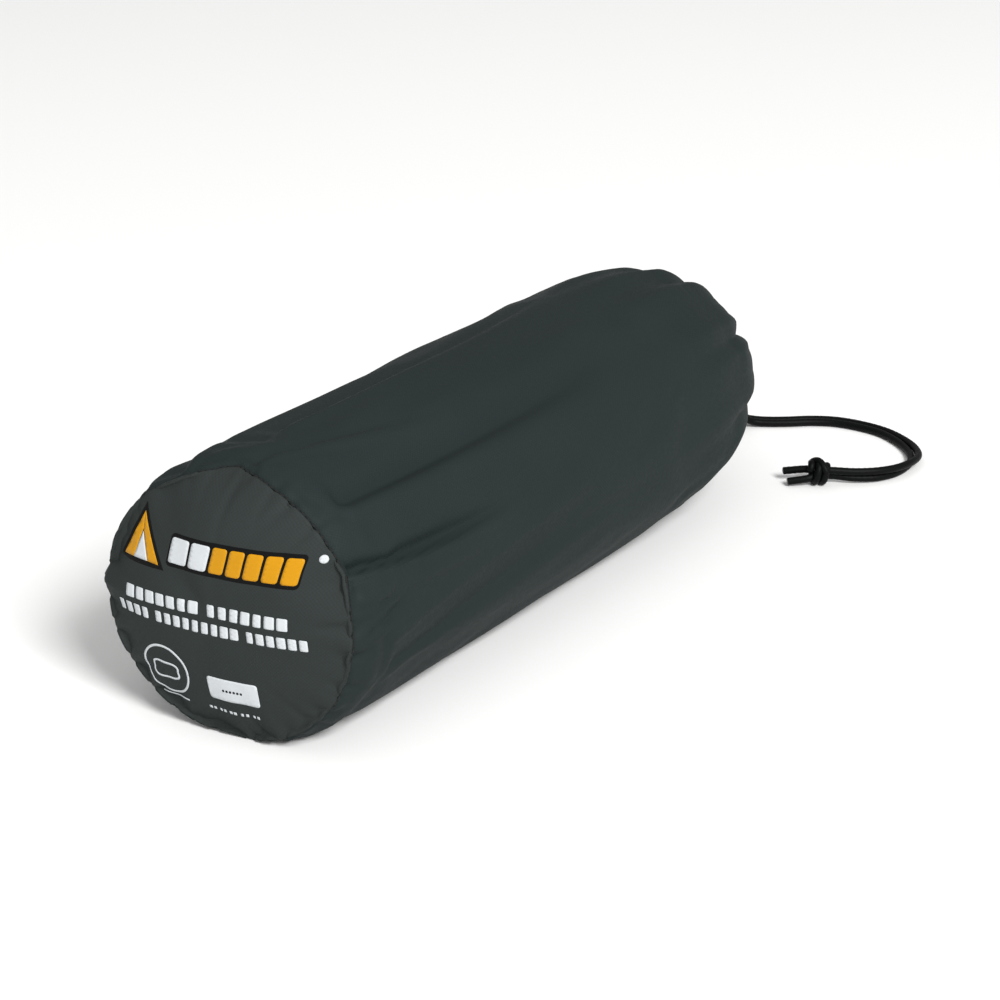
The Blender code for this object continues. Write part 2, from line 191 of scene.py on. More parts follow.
fabric = {
    "body": "#242b2b",          # charcoal with a green-blue cast
    "base": "#2e3332",
    "thread": 0.0009,           # thread spacing; the real 0.3 mm is too fine to show, so 3 x as coarse
    "weaveBump": 0.35,
    "slubs": 420.0,             # a metre: thick places in the yarn, 2.4 mm long
    "creases": 55.0,            # a metre: 18 mm crumples
    "clouds": 9.0,              # a metre: 110 mm patches of uneven dye
    "dyeDark": 0.86,
    "dyeLight": 1.12,
    "roughness": 0.62,
    "specular": 0.05,
}


def wovenPolyester(name, colour):
    # Plain-weave 210 denier polyester with a coated back: matt, tight and slightly uneven in dye.
    material, tree, output = emptyMaterial(name)
    uv = addNode(tree, "ShaderNodeUVMap", {"uv_map": "clothUV"})
    parts = addNode(tree, "ShaderNodeSeparateXYZ", links={0: (uv, "UV")})
    heights = []
    for axis in ("X", "Y"):
        phase = addNode(tree, "ShaderNodeMath", {"operation": "MULTIPLY"},
                        {0: (parts, axis), 1: math.pi / fabric["thread"]})
        heights.append(addNode(tree, "ShaderNodeMath", {"operation": "SINE"}, {0: (phase, 0)}))
    product = addNode(tree, "ShaderNodeMath", {"operation": "MULTIPLY"},
                      {0: (heights[0], 0), 1: (heights[1], 0)})
    weave = addNode(tree, "ShaderNodeMath", {"operation": "MULTIPLY_ADD"},
                    {0: (product, 0), 1: 0.5, 2: 0.5})
    place3d = addNode(tree, "ShaderNodeTexCoord")
    slub = addNode(tree, "ShaderNodeTexNoise",
                   links={"Vector": (uv, "UV"), "Scale": fabric["slubs"],
                          "Detail": 3.0, "Roughness": 0.6})
    cloud = addNode(tree, "ShaderNodeTexNoise",
                    links={"Vector": (place3d, "Object"), "Scale": fabric["clouds"],
                           "Detail": 4.0, "Roughness": 0.55})
    crumple = addNode(tree, "ShaderNodeTexNoise",
                      links={"Vector": (place3d, "Object"), "Scale": fabric["creases"],
                             "Detail": 3.0, "Roughness": 0.5})
    mixed = addNode(tree, "ShaderNodeMix", {"data_type": "RGBA"},
                    {0: (cloud, "Fac"), 6: shade(colour, fabric["dyeDark"]),
                     7: shade(colour, fabric["dyeLight"])})
    threads = addNode(tree, "ShaderNodeMath", {"operation": "MULTIPLY_ADD"},
                      {0: (weave, 0), 1: 0.22, 2: 0.78})
    tint = addNode(tree, "ShaderNodeMix", {"data_type": "RGBA", "blend_type": "MULTIPLY"},
                   {0: 0.55, 6: (mixed, 2), 7: (threads, 0)})
    rough = addNode(tree, "ShaderNodeMapRange",
                    links={"Value": (slub, "Fac"), "From Min": 0.3, "From Max": 0.7,
                           "To Min": fabric["roughness"] - 0.05, "To Max": fabric["roughness"] + 0.06})
    fineBump = addNode(tree, "ShaderNodeBump",
                       links={"Height": (weave, 0), "Strength": fabric["weaveBump"],
                              "Distance": fabric["thread"] * 0.12})
    softBump = addNode(tree, "ShaderNodeBump", links={"Height": (crumple, "Fac"), "Strength": 0.25,
                                                      "Distance": 0.0012,
                                                      "Normal": (fineBump, "Normal")})
    shader = addNode(tree, "ShaderNodeBsdfPrincipled",
                     links={"Base Color": (tint, 2), "Roughness": (rough, 0),
                            "Normal": (softBump, "Normal"), "IOR": 1.52,
                            "Specular IOR Level": fabric["specular"]})
    tree.links.new(shader.outputs[0], output.inputs["Surface"])
    return material


cordFinish = {
    "colour": "#060707",
    "fibres": 2600.0,           # a metre: 0.4 mm, coarser than the real fibres so that they show
    "roughness": 0.5,
}


def braidedNylon(name):
    # Black braided nylon accessory cord: the braid is in the mesh, so the finish only adds fibre.
    material, tree, output = emptyMaterial(name)
    uv = addNode(tree, "ShaderNodeUVMap", {"uv_map": "clothUV"})
    fibre = addNode(tree, "ShaderNodeTexNoise", links={"Vector": (uv, "UV"), "Scale": cordFinish["fibres"],
                                                       "Detail": 2.0})
    mixed = addNode(tree, "ShaderNodeMix", {"data_type": "RGBA"},
                    {0: (fibre, "Fac"), 6: shade(cordFinish["colour"], 0.7),
                     7: shade(cordFinish["colour"], 1.5)})
    bumped = addNode(tree, "ShaderNodeBump", links={"Height": (fibre, "Fac"), "Strength": 0.3,
                                                    "Distance": 0.0001})
    shader = addNode(tree, "ShaderNodeBsdfPrincipled",
                     links={"Base Color": (mixed, 2), "Roughness": cordFinish["roughness"], "IOR": 1.53,
                            "Normal": (bumped, "Normal"), "Specular IOR Level": 0.08})
    tree.links.new(shader.outputs[0], output.inputs["Surface"])
    return material


def moulded(name, colour, roughness=0.42, grain=900.0, metallic=0.0):
    # Injection-moulded nylon, rubber or drawn wire: spark-eroded grain, 1.1 mm so that it shows.
    # With more grains a metre it also serves hidden cloth, tape and foam.
    material, tree, output = emptyMaterial(name)
    place3d = addNode(tree, "ShaderNodeTexCoord")
    speckle = addNode(tree, "ShaderNodeTexNoise", links={"Vector": (place3d, "Object"),
                                                         "Scale": grain, "Detail": 2.0})
    rough = addNode(tree, "ShaderNodeMapRange", links={"Value": (speckle, "Fac"),
                                                       "To Min": roughness - 0.08,
                                                       "To Max": roughness + 0.1})
    bumped = addNode(tree, "ShaderNodeBump", links={"Height": (speckle, "Fac"), "Strength": 0.2,
                                                    "Distance": 0.00008})
    shader = addNode(tree, "ShaderNodeBsdfPrincipled",
                     links={"Base Color": hexColour(colour), "Roughness": (rough, 0),
                            "Normal": (bumped, "Normal"), "Metallic": metallic, "IOR": 1.5})
    tree.links.new(shader.outputs[0], output.inputs["Surface"])
    return material


def screenInk(name, colour, roughness=0.42):
    # Plastisol screen ink on cloth: opaque, a little smoother than the fabric, weave just showing.
    material, tree, output = emptyMaterial(name)
    place3d = addNode(tree, "ShaderNodeTexCoord")
    mottle = addNode(tree, "ShaderNodeTexNoise", links={"Vector": (place3d, "Object"),
                                                        "Scale": 700.0, "Detail": 3.0})
    mixed = addNode(tree, "ShaderNodeMix", {"data_type": "RGBA"},
                    {0: (mottle, "Fac"), 6: shade(colour, 0.93), 7: hexColour(colour)})
    bumped = addNode(tree, "ShaderNodeBump", links={"Height": (mottle, "Fac"), "Strength": 0.15,
                                                    "Distance": 0.0002})
    shader = addNode(tree, "ShaderNodeBsdfPrincipled",
                     links={"Base Color": (mixed, 2), "Roughness": roughness, "IOR": 1.5,
                            "Specular IOR Level": 0.2, "Normal": (bumped, "Normal")})
    tree.links.new(shader.outputs[0], output.inputs["Surface"])
    return material


bodyCloth = wovenPolyester("wovenPolyesterBody", fabric["body"])
baseCloth = wovenPolyester("wovenPolyesterBase", fabric["base"])
nylonBraid = braidedNylon("braidedNylonCord")
# The melted bead's shape is real; its light grey colour is a painted highlight where the cut ends catch the
# light.
nylonTipPaintedHighlight = moulded("meltedNylonTipPaintedHighlight", "#4a4b4c", 0.3)
# The stitch thread is real, but its near-black colour also paints the shade in the seam's groove.
threadAndSeamShade = moulded("spunPolyesterThreadSeamShade", "#050606", 0.8)
print("materials made")


# drawcord

cord = {
    "diameter": 0.0044,
    "spacing": 0.0004,          # between the rings of the mesh
    "around": 26,
    "carriers": 8,              # braid yarns each way
    "lay": 0.0068,              # length in which a yarn goes once round an eighth
    "relief": 0.00022,          # height of a yarn
    "fallAngle": math.radians(42),
    "ringGapAngle": math.radians(42),
    "ringBend": 0.62,           # share of the gap's angle where a strand turns down
    "leave": (0.0008, 0.0034, 0.0003),      # where it leaves the casing, from the ring's bottom
    "runStart": 0.0045,
    "runEndHeight": 0.0155,
    "gap": 0.0003,
    "knotGap": 0.0040,          # the strands stop this far short of the knot's middle
    "routeStep": 0.002,
}

# The pair's middle line past its straight run: X from the end of that run, Y, Z and how far the
# pair rolls over, in degrees.
pairRoute = [
    (0.0077, 0.0000, 0.0092, 0),
    (0.0139, -0.0020, 0.0048, 0),
    (0.0189, -0.0066, 0.0028, 0),
    (0.0239, -0.0140, 0.0024, 0),
    (0.0299, -0.0222, 0.0024, 0),
    (0.0385, -0.0325, 0.0024, 0),
    (0.0451, -0.0450, 0.0024, 0),
    (0.0475, -0.0600, 0.0024, 0),
    (0.0461, -0.0765, 0.0024, 0),
    (0.0391, -0.0915, 0.0026, 5),
    (0.0298, -0.1031, 0.0029, 15),
    (0.0181, -0.1112, 0.0035, 30),
    (0.0050, -0.1140, 0.0042, 50),
    (-0.0083, -0.1122, 0.0045, 65),
    (-0.0200, -0.1060, 0.0048, 75),
    (-0.0288, -0.0968, 0.0053, 70),
    (-0.0345, -0.0885, 0.0062, 60),
]
knotOffset = Vector((-0.0407, -0.0797, 0.0070))     # from the end of the straight run, on the floor

fall = Vector((math.cos(cord["fallAngle"]), 0, -math.sin(cord["fallAngle"])))
ringBottom = Vector((place["ringX"], 0, place["axisHeight"] - place["ringRadius"]))
straightRun = (ringBottom.z - cord["runEndHeight"]) / math.sin(cord["fallAngle"])
runEnd = ringBottom + fall * straightRun
knotMiddle = Vector((runEnd.x, 0, 0)) + knotOffset
pairOffset = (cord["diameter"] + cord["gap"]) / 2


def curveThrough(knots, spacing):
    padded = [knots[0] * 2 - knots[1], *knots, knots[-1] * 2 - knots[-2]]
    line = []
    for i in range(1, len(padded) - 2):
        before, start, end, after = padded[i - 1:i + 3]
        count = max(1, round((end - start).length / spacing))
        for step in range(count):
            t = step / count
            line.append(0.5 * (2 * start + (end - before) * t
                               + (2 * before - 5 * start + 4 * end - after) * t ** 2
                               + (3 * start - before - 3 * end + after) * t ** 3))
    line.append(knots[-1])
    return line


def evenLine(line, spacing):
    points = np.array([tuple(p) for p in line])
    steps = np.linalg.norm(np.diff(points, axis=0), axis=1)
    along = np.concatenate([[0], np.cumsum(steps)])
    count = max(2, int(round(along[-1] / spacing)) + 1)
    want = np.linspace(0, along[-1], count)
    return np.stack([np.interp(want, along, points[:, k]) for k in range(3)], 1), want


def braidHeight(turn, along):
    # Two families of yarns crossing over and under: 0 in the valleys, 1 on a yarn's crown.
    shift = along / cord["lay"]
    right = cord["carriers"] * turn + shift * cord["carriers"] / 4
    left = cord["carriers"] * turn - shift * cord["carriers"] / 4
    over = (np.floor(right) + np.floor(left)) % 2
    across = np.where(over > 0.5, right % 1, left % 1) - 0.5
    length = np.where(over > 0.5, left % 1, right % 1) - 0.5
    return np.sqrt(np.clip(np.cos(math.pi * across), 0, 1)) * (0.6 + 0.4 * np.cos(math.pi * length))


def braidedTube(name, line, material, radius=None, taper=0.0, spacing=None):
    radius = radius or cord["diameter"] / 2
    points, along = evenLine(line, spacing or cord["spacing"])
    count, around = len(points), cord["around"]
    ahead = np.gradient(points, axis=0)
    ahead /= np.linalg.norm(ahead, axis=1)[:, None]
    side = np.zeros_like(points)
    first = np.cross(ahead[0], (0.0, 0.0, 1.0))
    side[0] = first / np.linalg.norm(first)
    for i in range(1, count):
        carried = side[i - 1] - ahead[i] * (side[i - 1] @ ahead[i])
        side[i] = carried / np.linalg.norm(carried)
    other = np.cross(ahead, side)
    turn = np.arange(around) / around
    swell = radius - cord["relief"] + cord["relief"] * braidHeight(turn[None, :], along[:, None])
    if taper:
        ends = np.minimum(along, along[-1] - along)[:, None] / taper
        swell = swell * np.sqrt(np.clip(1 - (1 - np.clip(ends, 0, 1)) ** 2, 0.04, 1))
    spin = 2 * math.pi * turn
    ring = (side[:, None, :] * np.cos(spin)[None, :, None]
            + other[:, None, :] * np.sin(spin)[None, :, None])
    verts = [*(points[:, None, :] + ring * swell[:, :, None]).reshape(-1, 3), points[0], points[-1]]
    faces, uv = [], []
    width = 2 * math.pi * radius
    for i in range(count - 1):
        for j in range(around):
            k = (j + 1) % around
            faces.append((i * around + j, i * around + k, (i + 1) * around + k, (i + 1) * around + j))
            u0, u1 = width * j / around, width * (j + 1) / around
            v0, v1 = along[i], along[i] + cord["spacing"]
            uv += [(u0, v0), (u1, v0), (u1, v1), (u0, v1)]
    for ringStart, tip in ((0, count * around), ((count - 1) * around, count * around + 1)):
        for j in range(around):
            corner = (ringStart + j, ringStart + (j + 1) % around, tip)
            faces.append(corner if ringStart else corner[::-1])
            uv += [(0, 0), (0, 0), (0, 0)]
    mesh = meshFrom(name, verts, faces, uv)
    return linkObject(name, mesh, [material]), points


def ringPoint(angle):
    return Vector((place["ringX"], place["ringRadius"] * math.sin(angle),
                   place["axisHeight"] - place["ringRadius"] * math.cos(angle)))


def makeDrawcord():
    middles = [Vector((runEnd.x + x, y, z)) for x, y, z, roll in pairRoute]
    intoKnot = (knotMiddle - middles[-1]).normalized()
    middles.append(knotMiddle - intoKnot * cord["knotGap"])
    rolls = [roll for x, y, z, roll in pairRoute] + [pairRoute[-1][3]]
    strands = []
    leaveX, leaveY, leaveZ = cord["leave"]
    for side, letter in ((1, "A"), (-1, "B")):
        knots = [ringPoint(side * (cord["ringGapAngle"] - 3 * cord["gap"] / place["ringRadius"])),
                 ringPoint(side * cord["ringGapAngle"] * cord["ringBend"]),
                 ringBottom + Vector((leaveX, side * leaveY, leaveZ))]
        lateral = Vector((0, side * pairOffset, 0))
        start = cord["runStart"]
        steps = 4
        for i in range(steps + 1):
            knots.append(ringBottom + fall * (start + (straightRun - start) * i / steps) + lateral)
        before = runEnd
        for i, middle in enumerate(middles):
            heading = middles[min(i + 1, len(middles) - 1)] - before
            before = middle
            level = Vector((0, 0, 1)).cross(heading).normalized()
            up = heading.normalized().cross(level)
            turn = math.radians(rolls[i])
            knots.append(middle + (level * math.cos(turn) + up * math.sin(turn)) * side * pairOffset)
        line = curveThrough(knots, cord["routeStep"])
        strands.append(braidedTube("drawcordStrand" + letter, line, nylonBraid))
    return strands, intoKnot


strands, intoKnot = makeDrawcord()


def makeCasingLoop():
    span = 2 * (math.pi - cord["ringGapAngle"])
    steps = 60
    line = [ringPoint(cord["ringGapAngle"] + span * i / steps) for i in range(steps + 1)]
    return braidedTube("drawcordCasingLoop", line, nylonBraid)[0]


casingLoop = makeCasingLoop()

knot = {
    "wrapRadius": 0.0046,       # middle of the wrapped cord from the knot's axis
    "turns": 2.35,
    "pitch": 0.0043,
    "belly": 0.0008,            # how much wider the middle turn is
    "startAngle": 0.6,
    "tuck": 0.08,               # share of the wrap at each end that tucks in under it
    "tuckRadius": 0.35,         # what's left of the radius at the very end
    "overAngle": (20, 150),     # where the bight on top starts and how far round it goes
    "overReach": 0.0095,
    "overLift": 0.0008,
    "overBelly": 0.0012,
    "taper": 0.002,
}


def makeKnot():
    # An overhand wrap: the pair turns round its own standing part, then tucks back under.
    axis = intoKnot
    side = axis.cross(Vector((0, 0, 1))).normalized()
    up = side.cross(axis).normalized()
    line = []
    steps = 90
    for i in range(steps + 1):
        share = i / steps
        angle = 2 * math.pi * knot["turns"] * share + knot["startAngle"]
        radius = knot["wrapRadius"] + knot["belly"] * math.sin(math.pi * share)
        reach = (share - 0.5) * knot["pitch"] * knot["turns"]
        fromEnd = min(share, 1 - share)
        if fromEnd < knot["tuck"]:
            radius *= knot["tuckRadius"] + (1 - knot["tuckRadius"]) * fromEnd / knot["tuck"]
        point = (knotMiddle + axis * reach + side * radius * math.cos(angle)
                 + up * radius * math.sin(angle))
        point.z = max(point.z, cord["diameter"] / 2)
        line.append(point)
    wrap = braidedTube("drawcordKnotWrap", line, nylonBraid, taper=knot["taper"])[0]
    # The bight that crosses over the wraps on top.
    line = []
    steps = 40
    first, turn = knot["overAngle"]
    for i in range(steps + 1):
        share = i / steps
        angle = math.radians(first + turn * share)
        reach = (0.5 - share) * knot["overReach"]
        radius = knot["wrapRadius"] + knot["overLift"] + knot["overBelly"] * math.sin(math.pi * share)
        line.append(knotMiddle + axis * reach + side * radius * math.cos(angle)
                    + up * radius * math.sin(angle))
    over = braidedTube("drawcordKnotOver", line, nylonBraid, taper=knot["taper"])[0]
    return [wrap, over]


knotPieces = makeKnot()

# Where each cut end leaves the knot, its way and where its tip lies from the knot's middle.
cutEnds = [
    (Vector((-0.20, 0.97, 0.10)), Vector((-0.0070, 0.0185, -0.0010))),
    (Vector((-0.85, 0.42, -0.32)), Vector((-0.0125, 0.0125, -0.0043))),
]

tip = {
    "start": 0.0035,            # from the knot's middle
    "straight": 0.004,
    "step": 0.0006,
    "melted": (-0.0004, 0.0003, 0.0008),    # the melted bead's middle line, from the cord's end
    "radius": 0.0021,
    "taper": 0.0007,
    "spacing": 0.00015,
}


def makeCutEnds():
    pieces = []
    for (way, reach), letter in zip(cutEnds, "AB"):
        way = way.normalized()
        start = knotMiddle + way * tip["start"]
        line = curveThrough([start, start + way * tip["straight"], knotMiddle + reach], tip["step"])
        tail = braidedTube("drawcordEnd" + letter, line, nylonBraid)[0]
        heading = (line[-1] - line[-3]).normalized()
        bead = [line[-1] + heading * along for along in tip["melted"]]
        # the tip's light grey finish is a painted highlight on the melted bead
        melted = braidedTube("drawcordTip" + letter, bead, nylonTipPaintedHighlight, radius=tip["radius"],
                             taper=tip["taper"], spacing=tip["spacing"])[0]
        pieces += [tail, melted]
    return pieces


endPieces = makeCutEnds()
print("drawcord made")


# the sack's cloth

sack = {
    "around": 256,
    "fabric": 0.0008,
    # the turned-in allowance: distance from the seam, X and radius
    "turnedIn": ((-0.0050, 0.00015, 0.0580), (-0.0040, 0.00010, 0.0605), (-0.0020, 0.00008, 0.0628)),
    # the cloth's edge over the seam's groove: distance from the seam, X and drop below the surface
    "edge": ((0.0, 0.00010, 0.0020), (0.0003, 0.0004, 0.0012), (0.0006, 0.0007, 0.0005),
             (0.0010, 0.0012, 0.0001)),
    "firstRow": 0.0020,         # rings of the mesh: close at the seam, wider apart along the body
    "closeRows": 0.0012,
    "wideRows": 0.0023,
    "wideFrom": 0.05,
    "domeRows": 44,
    "casingRows": 20,
    "casingEase": 0.0004,       # the casing's cloth lies this far off the cord loop's bore
    "rippleLong": 0.0007,       # low unevenness all over the body
    "rippleCross": 0.0005,
}

# Folds that run along the body: distance from the base seam and place round the sack, both in
# mm (0 on top, minus toward the front), at the start, the middle and the end; depth and width in
# mm; lip is how far the lower edge stands proud.
folds = [
    {"path": ((-2, -78), (60, -84.5), (152, -84)), "depth": 4.6, "width": 2.4, "lip": 2.2},
    {"path": ((1, -92), (60, -96), (160, -94)), "depth": -2.4, "width": 5.0, "lip": 0.0},
    {"path": ((16, -47), (110, -50), (262, -45)), "depth": 4.0, "width": 6.0, "lip": 1.8},
    {"path": ((3, -2), (50, -13), (125, -27)), "depth": 2.0, "width": 4.2, "lip": 0.8},
    {"path": ((50, 14), (170, 12), (290, 18)), "depth": 2.2, "width": 5.5, "lip": 1.2},
    {"path": ((6, -111), (22, -107), (48, -102)), "depth": 2.0, "width": 2.4, "lip": 0.7},
    {"path": ((14, -99), (28, -97), (44, -93)), "depth": 1.5, "width": 2.4, "lip": 0.6},
    {"path": ((20, -119), (120, -105), (270, -100)), "depth": -1.6, "width": 5.0, "lip": 0.0},
    {"path": ((26, -136), (140, -121), (285, -116)), "depth": 2.4, "width": 6.0, "lip": 0.3},
    {"path": ((30, 12), (150, 16), (420, 14)), "depth": 2.8, "width": 9.0, "lip": 0.0},
    {"path": ((4, 34), (70, 40), (200, 36)), "depth": 2.0, "width": 6.0, "lip": 0.8},
    {"path": ((2, 72), (60, 78), (180, 84)), "depth": 2.4, "width": 5.0, "lip": 0.8},
    {"path": ((90, 112), (180, 108), (300, 116)), "depth": 2.2, "width": 6.5, "lip": 0.7},
    {"path": ((3, 142), (60, 136), (150, 132)), "depth": 1.6, "width": 5.0, "lip": 0.5},
]
foldShape = {
    "startWidth": 0.7,          # of the given width, and how much it widens toward the end
    "widening": 0.6,
    "upperSide": 1.9,           # the soft side and the steep one
    "lowerSide": 0.75,
    "lipPlace": 1.5,
    "lipWidth": 0.9,
    "fadeOutFrom": 0.45,
}


def sackRadius(along):
    rise = np.clip(along / place["seamDrawReach"], 0, 1)
    radius = place["baseRadius"] + (place["bodyRadius"] - place["baseRadius"]) * rise * (2 - rise)
    taperLength = place["bodyLength"] - place["seamDrawReach"]
    share = np.clip((along - place["seamDrawReach"]) / taperLength, 0, 1)
    return radius + (place["shoulderRadius"] - place["bodyRadius"]) * share


def lieOnFloor(points):
    # Flattens what would hang below the floor and leans the base end over.
    x, y, z = points[..., 0].copy(), points[..., 1].copy(), points[..., 2].copy()
    height = place["axisHeight"]
    radius = np.hypot(y, z - height)
    full = sackRadius(x - place["seamX"])
    steep = np.where(radius > 1e-6, (height - z) / np.maximum(radius, 1e-6), 0)
    flattened = np.where(steep > 0, np.minimum(1, height / np.maximum(full * steep, 1e-6)), 1)
    squeeze = 1 - (1 - flattened) * np.minimum(radius / full, 1) ** 2
    y = y * squeeze
    z = height + (z - height) * squeeze
    fade = np.clip(1 - (x - place["seamX"]) / place["leanReach"], 0, 1)
    return np.stack([x + place["lean"] * y * fade, y, z], -1)


def gridNormals(points, row, way):
    # Normals of a grid of rings, turned so that the top of the given ring looks the given way.
    around = np.roll(points, -1, 1) - np.roll(points, 1, 1)
    along = np.gradient(points, axis=0)
    normal = np.cross(around, along)
    normal /= np.maximum(np.linalg.norm(normal, axis=2), 1e-12)[..., None]
    return normal if np.dot(normal[row, 0], way) > 0 else -normal


seamShape = {
    "peak": 0.0150,             # how far the panel climbs over the top of the roll
    "peakAngle": 4,             # degrees round the seam, 0 on top, minus toward the front
    "peakFront": 25,
    "peakBack": 16,
    "drop": 0.0028,             # how far the seam sags back below the pinch
    "pinch": 0.0030,            # the corner that the deepest fold pulls into the seam
    "pinchAngle": -65,
    "pinchWidth": 8,
    "bodyFade": 0.070,
    "baseFade": 0.034,
    # where the edge stands out between its gathers: degrees round the seam and height in mm
    "edge": ((-179, -1.7), (-171, 0.3), (-163, -2.2), (-155, 0.6), (-138, -1.4), (-122, 0.2),
             (-104, -0.9), (-92, 0.2), (-78, -0.4), (-66, -2.4), (-56, 0.2), (-20, 0.2), (4, 0.8),
             (20, -0.8), (29, -1.6), (40, 0.6), (62, -2.4), (76, -2.8), (88, 3.6), (98, -1.2),
             (109, 0.2), (116, -2.0), (124, 0.5), (131, -1.9), (138, 0.2), (150, -3.4), (160, -1.0),
             (170, -3.0)),
    "edgeReach": 0.017,
    "seed": 17,
}


def seamShift(angle):
    # How far the seam lies toward the mouth of its plain ring.
    offset = np.degrees(wrapped(angle - math.radians(seamShape["peakAngle"])))
    spread = np.where(offset < 0, seamShape["peakFront"], seamShape["peakBack"])
    wander = 0.0005 * waves(angle, seamShape["seed"], 3, 9)
    climb = seamShape["peak"] * np.exp(-(np.hypot(offset, 2.5) / spread) ** 1.05)
    corner = np.degrees(wrapped(angle - math.radians(seamShape["pinchAngle"])))
    climb = climb + seamShape["pinch"] * np.exp(-np.abs(corner / seamShape["pinchWidth"]) ** 1.4)
    sag = seamShape["drop"] * smoothStep(-62, -80, np.degrees(angle))
    sag = sag * (1 - smoothStep(150, 178, -np.degrees(angle)))
    return climb - sag + wander


def scallopHeight(angle, away):
    # The edge stands out and draws in between its gathers.
    turns = np.array([math.radians(turn) for turn, _ in seamShape["edge"]])
    heights = np.array([height / 1000 for _, height in seamShape["edge"]])
    shape = np.interp(wrapped(angle), turns, heights, period=2 * math.pi)
    return shape * np.exp(-(away / seamShape["edgeReach"]) ** 1.5)


puckers = {
    "spacing": 0.0115,
    "seed": 7,
    "depth": (0.0005, 0.0017),
    "width": (0.0014, 0.0028),
    "bodyReach": (0.006, 0.022),
    "baseReach": (0.005, 0.017),
    "slant": 0.25,
    "deeper": 0.9,              # how much deeper they are toward the front and below
    "deeperAngle": 262,
    "deeperWidth": 30,
}


def puckerList():
    draw = np.random.RandomState(puckers["seed"])
    count = int(2 * math.pi * place["baseRadius"] / puckers["spacing"])
    rows = []
    for i in range(count):
        angle = 2 * math.pi * (i + draw.uniform(-0.35, 0.35)) / count
        rows.append((angle, draw.uniform(*puckers["depth"]), draw.uniform(*puckers["width"]),
                     draw.uniform(*puckers["bodyReach"]), draw.uniform(*puckers["baseReach"]),
                     draw.uniform(-puckers["slant"], puckers["slant"])))
    return rows


puckerRows = puckerList()


def wrapped(angle):
    return (angle + math.pi) % (2 * math.pi) - math.pi


def puckerHeight(angle, away, reachColumn):
    total = np.zeros_like(angle + away)
    for row in puckerRows:
        offset = wrapped(angle - row[0] - row[5] * away / place["baseRadius"]) * place["baseRadius"]
        reach = row[reachColumn]
        width = row[2] * (1 + 0.5 * away / reach)
        shape = np.exp(-(offset / width) ** 2) - 0.35 * np.exp(-(offset / (2.4 * width)) ** 2)
        aside = (math.degrees(row[0]) % 360 - puckers["deeperAngle"]) / puckers["deeperWidth"]
        strong = 1 + puckers["deeper"] * np.exp(-aside ** 2)
        total -= row[1] * strong * shape * np.exp(-(away / reach) ** 1.3)
    return total


def foldHeight(fold, along, across):
    # A valley with one soft and one steep side, fading out at both ends.
    (l0, a0), (l1, a1), (l2, a2) = [(l / 1000, a / 1000) for l, a in fold["path"]]
    share = np.clip((along - l0) / (l2 - l0), 0, 1)
    middle = (l1 - l0) / (l2 - l0)
    bend = a1 - (a0 * (1 - middle) ** 2 + a2 * middle ** 2)
    bend /= 2 * middle * (1 - middle)
    line = a0 * (1 - share) ** 2 + 2 * share * (1 - share) * bend + a2 * share ** 2
    offset = wrapped((across - line) / place["bodyRadius"]) * place["bodyRadius"]
    width = fold["width"] / 1000 * (foldShape["startWidth"] + foldShape["widening"] * share)
    side = np.where(offset > 0, foldShape["upperSide"], foldShape["lowerSide"])
    valley = np.exp(-(offset / (width * side)) ** 2)
    lip = np.exp(-((offset + foldShape["lipPlace"] * width) / (foldShape["lipWidth"] * width)) ** 2)
    start = smoothStep(-0.003, 0.005 + 0.1 * l0, along - l0)
    end = 1 - smoothStep(foldShape["fadeOutFrom"], 1.0, (along - l0) / (l2 - l0))
    return (-fold["depth"] * valley + fold["lip"] * lip) / 1000 * start * end


pleats = {
    # Facets of the drawn-in end: degrees round the shoulder and height in mm. Corners stand
    # where the cloth is stretched, and the deep ones are its narrow pleats.
    "facets": ((-170, -1.4), (-152, 0.3), (-139, -2.2), (-124, 0.2), (-110, 0.4), (-99, -3.2), (-89, 0.5),
               (-76, 0.8), (-66, 0.3), (-58, -3.6), (-48, 0.3), (-33, -0.7), (-21, 0.7), (-11, -3.4),
               (-1, 0.9), (8, -1.6), (19, 1.4), (31, -0.8), (44, 0.5), (57, -2.6), (70, -0.3),
               (82, 0.5), (97, -2.8), (112, -0.4), (128, 0.5), (142, -2.5), (160, 0.5)),
    "facetScale": 1.15,
    "facetReach": (-0.22, 0.45, 0.80, 1.0),     # shares of the dome where they come and go
    "drift": 0.06,
    "fineCount": 26,            # gathers at the mouth
    "fineDepth": 0.0011,
    "fineReach": (0.30, 0.97),
    "casingDepth": 0.0009,
    "seed": 11,
}


def gatherRidge(angle):
    # One ridge for each gather at the mouth, -1 to 1.
    phase = pleats["fineCount"] * angle + 1.4 * waves(angle, pleats["seed"], 2, 5)
    return 1 - 2 * np.abs(np.sin(phase / 2)) ** 0.8


def pleatHeight(angle, along):
    # Facets and pleats on the dome, and finer gathers close to the mouth.
    onDome = (along - place["bodyLength"]) / place["mouthDepth"]
    begin, full, wane, gone = pleats["facetReach"]
    broad = smoothStep(begin, full, onDome) * (1 - smoothStep(wane, gone, onDome))
    turns = np.array([math.radians(turn) for turn, _ in pleats["facets"]])
    heights = np.array([height / 1000 for _, height in pleats["facets"]])
    around = wrapped(angle + pleats["drift"] * waves(angle, pleats["seed"], 3, 7) * onDome)
    total = np.interp(around, turns, heights, period=2 * math.pi) * broad * pleats["facetScale"]
    fine = smoothStep(*pleats["fineReach"], onDome)
    return total - fine * pleats["fineDepth"] * gatherRidge(angle)


